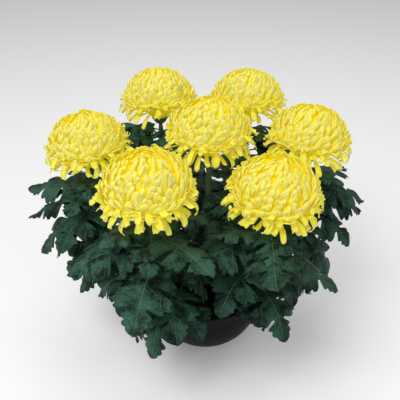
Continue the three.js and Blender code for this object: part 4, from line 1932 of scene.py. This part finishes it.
@dataclass(frozen=True)
class PetalFinish(Finish):
    """Satin lemon-yellow florets: cream tips, a painted cream highlight down each back, and gold
    that is painted shade deep inside and their own deeper colour over the top.

    A faint painted glow, strongest at the edges and deep inside, stands for the daylight that
    passes through the thin florets from all sides and lightens the shade between them.
    """

    NAME = "Yellow floret"
    FIXED = {
        "Roughness": 0.5,
        "Specular IOR Level": 0.35,
        "Subsurface Weight": 0.55,
        "Subsurface Radius": (1, 0.8, 0.12),
        "Subsurface Scale": 0.008,
        # Strength of the painted glow.
        "Emission Strength": 0.2,
    }
    lemon: Colour = (0.92, 0.8, 0.008)
    cream: Colour = (0.95, 0.87, 0.23)
    # gold: painted shade where the florets lie deep inside, and the top florets' own deeper colour.
    gold: Colour = (0.9, 0.76, 0.006)
    # Painted glow: a little on every face, and a strong golden one on the edges and deep parts, where
    # shade falls between the florets.
    face_glow: Colour = (0.26, 0.24, 0.01)
    edge_glow: Colour = (1, 0.8, 0)

    def paint(self, graph: Graph, groups: Groups) -> dict[str, Socket]:
        """Streaks, painted highlights and painted shade that follow the floret, across and along it.

        Args:
            graph: The material's graph.
            groups: The node groups that the finishes share.

        Returns:
            The socket that feeds each of the shader's inputs, by the input's name.
        """
        across, along, out = graph.parts(graph.place(Coordinate.MARK))
        tone = graph.place(Coordinate.TONE)
        scaled = [
            graph.math("MULTIPLY", value, scale)
            for value, scale in ((across, 3.2), (along, 0.8), (tone, 40))
        ]
        streaks = graph.join(*scaled)
        edge = graph.math("ABSOLUTE", across)
        # A painted cream highlight down the middle of each floret's back, fading to lemon at the edges;
        # the cream tips are the florets' own paler colour and a painted highlight at once.
        back = graph.span(edge, 0.1, 0.85, 0.8, 0)
        tip = graph.span(along, 0.5, 0.95, 0, 0.3)
        ribbed = graph.span(graph.noise(streaks, 2.4, 3), 0.36, 0.66, -0.1, 0.2)
        paler = graph.math("ADD", graph.math("ADD", back, tip), ribbed, clamp=True)
        face = graph.blend(paler, self.lemon, self.cream)
        # deep is 1 where the out mark is low: it paints gold shade into the recesses and under the
        # bloom.
        deep = graph.math("SUBTRACT", 1, out)
        # Where the painted golden glow goes: deep inside and at the edges, in place of the shade
        # between florets.
        glow_mask = graph.math("MAXIMUM", deep, graph.span(edge, 0.5, 1))
        grain = graph.group(groups.grain, Place=streaks, Scale=5, Broad=0.6)
        return {
            "Base Color": graph.blend(deep, face, self.gold),
            "Emission Color": graph.blend(glow_mask, self.face_glow, self.edge_glow),
            "Normal": graph.bump(grain["Height"], 0.35, 0.0009),
        }


# ---- Leafy stems ------------------------------------------------------------------------------


@dataclass(frozen=True)
class LeafyStem:
    """A stem with its leaves, its calyx and the bracts on that."""

    blade: Blade = Blade()
    young_blade: Blade = Blade(across=(1, 0.75, 0.3, 0, -0.3, -0.75, -1), samples=1, stalk_width=2.6)

    def build(self, seed: int, leaves: Leaves, leaf: Material, stalk: Material) -> Piece:
        """Makes one leafy stem.

        Args:
            seed: The stem's place in the list of stems.
            leaves: The plan and surface of each leaf.
            leaf: The leaves' material.
            stalk: The stem's and the calyx's material.

        Returns:
            The piece.
        """
        stem = STEMS[seed]
        skin = Skin()
        joints = np.array([plan.at for plan, _ in leaves])
        for rings in (stem.rod(joints), stem.calyx(), stem.bracts(seed)):
            skin.add(rings)
        bare = sum(len(faces) for faces in skin.faces)
        for index, (plan, surface) in enumerate(leaves):
            blade = self.young_blade if plan.young else self.blade
            rings, marks = blade.rings(plan, surface, seed, index)
            # Tone: half a random draw and half the leaf's height on its stem, which paints shade on the
            # lower leaves.
            skin.add(rings, marks, 0.5 * draw(seed, 600, index) + 0.5 * plan.at)
        mesh = skin.mesh(f"Leafy_stem.{stem.name}")
        piece = place_piece(mesh, [stalk, leaf], f"stem_{stem.name}")
        is_leaf = np.arange(len(mesh.polygons)) >= bare
        mesh.polygons.foreach_set("material_index", is_leaf.astype(np.int32))
        return piece


# ---- Studio -----------------------------------------------------------------------------------


@dataclass(frozen=True)
class Lamp:
    """A square soft light: its place and size in metres, and its power in watts."""

    name: str
    spot: tuple[float, float, float]
    size: float
    power: float

    def build(self, target: tuple[float, float, float]) -> None:
        """Adds the light.

        Args:
            target: The place that it shines at, in metres.
        """
        data = bpy.data.lights.new(self.name, "AREA")
        data.size, data.energy = self.size, self.power
        light = bpy.data.objects.new(self.name, data)
        light.location = self.spot
        light.rotation_mode = "QUATERNION"
        way = light.location - Vector(target)
        light.rotation_quaternion = way.to_track_quat("Z", "Y")
        bpy.context.scene.collection.objects.link(light)


@dataclass(frozen=True)
class Studio:
    """A pale floor, soft lights and a camera that looks down at the plant from the front.

    Places and the floor's radius are in metres.
    """

    lens: float = 52.2
    sensor: float = 36
    look_down: float = 31
    camera_at: tuple[float, float, float] = (-0.011, -0.951, 0.895)
    target: tuple[float, float, float] = (0, 0, 0.3)
    lamps: tuple[Lamp, ...] = (
        Lamp("Key", (-1.0, -1.4, 2.5), 1.5, 47),
        Lamp("Fill", (1.9, -1.2, 1.6), 2.2, 10),
        Lamp("Top", (0.2, 0.9, 2.8), 2.2, 17),
    )
    sky: float = 0.32
    floor_radius: float = 30
    floor_sides: int = 96
    floor_grey: float = 0.93
    floor_glow: float = 0.15

    def build(self) -> None:
        """Adds the floor, the lights, the sky and the camera."""
        self.add_floor()
        for lamp in self.lamps:
            lamp.build(self.target)
        world = bpy.data.worlds.new("Studio")
        world.use_nodes = True
        graph = Graph(world.node_tree)
        sky = {"Color": (1, 1, 1), "Strength": self.sky}
        graph.feed(world.node_tree.nodes["Background"], sky)
        bpy.context.scene.world = world
        bpy.context.scene.view_settings.view_transform = "Standard"
        self.add_camera()

    def add_floor(self) -> None:
        """Adds a wide round floor that glows faintly, at the height that the bowl stands on."""
        sides = self.floor_sides
        rim = heading(np.arange(sides) * 360 / sides) * self.floor_radius
        mesh = bpy.data.meshes.new("Floor")
        faces = [(i, (i + 1) % sides, sides) for i in range(sides)]
        mesh.from_pydata([*rim.tolist(), (0, 0, 0)], [], faces)
        floor = bpy.data.objects.new("Floor", mesh)
        bpy.context.scene.collection.objects.link(floor)
        fixed = {
            "Base Color": (self.floor_grey,) * 3,
            "Roughness": 0.9,
            "Specular IOR Level": 0.1,
            "Emission Color": (1, 1, 1),
            "Emission Strength": self.floor_glow,
        }
        _, _, material = new_material("Pale floor", fixed)
        mesh.materials.append(material)

    def add_camera(self) -> None:
        """Adds the camera."""
        data = bpy.data.cameras.new("Camera")
        data.lens, data.sensor_width = self.lens, self.sensor
        data.clip_start, data.clip_end = 0.01, 100
        camera = bpy.data.objects.new("Camera", data)
        camera.location = self.camera_at
        camera.rotation_euler = (np.radians(90 - self.look_down), 0, 0)
        bpy.context.scene.collection.objects.link(camera)
        bpy.context.scene.camera = camera


def main() -> None:
    """Builds the plant, piece by piece, and the studio round it."""
    logging.basicConfig(level=logging.INFO, format="%(name)s: %(message)s")
    groups = Groups.make()
    bowl = Bowl()
    bowl.build(BowlFinish().material(groups))
    Soil().build(bowl, SoilFinish().material(groups))
    leaf, stalk = LeafFinish().material(groups), StemFinish().material(groups)
    petal = PetalFinish().material(groups)
    leaves = Foliage((LeafHabit(), NeckHabit(), YoungHabit()), bowl).surfaces()
    LOG.info("%d leaves planned", sum(map(len, leaves.values())))
    for seed, stem in enumerate(STEMS):
        LeafyStem().build(seed, leaves[seed], leaf, stalk)
        Bloom().build(stem, seed, petal)
    Studio().build()


if __name__ == "__main__":
    main()
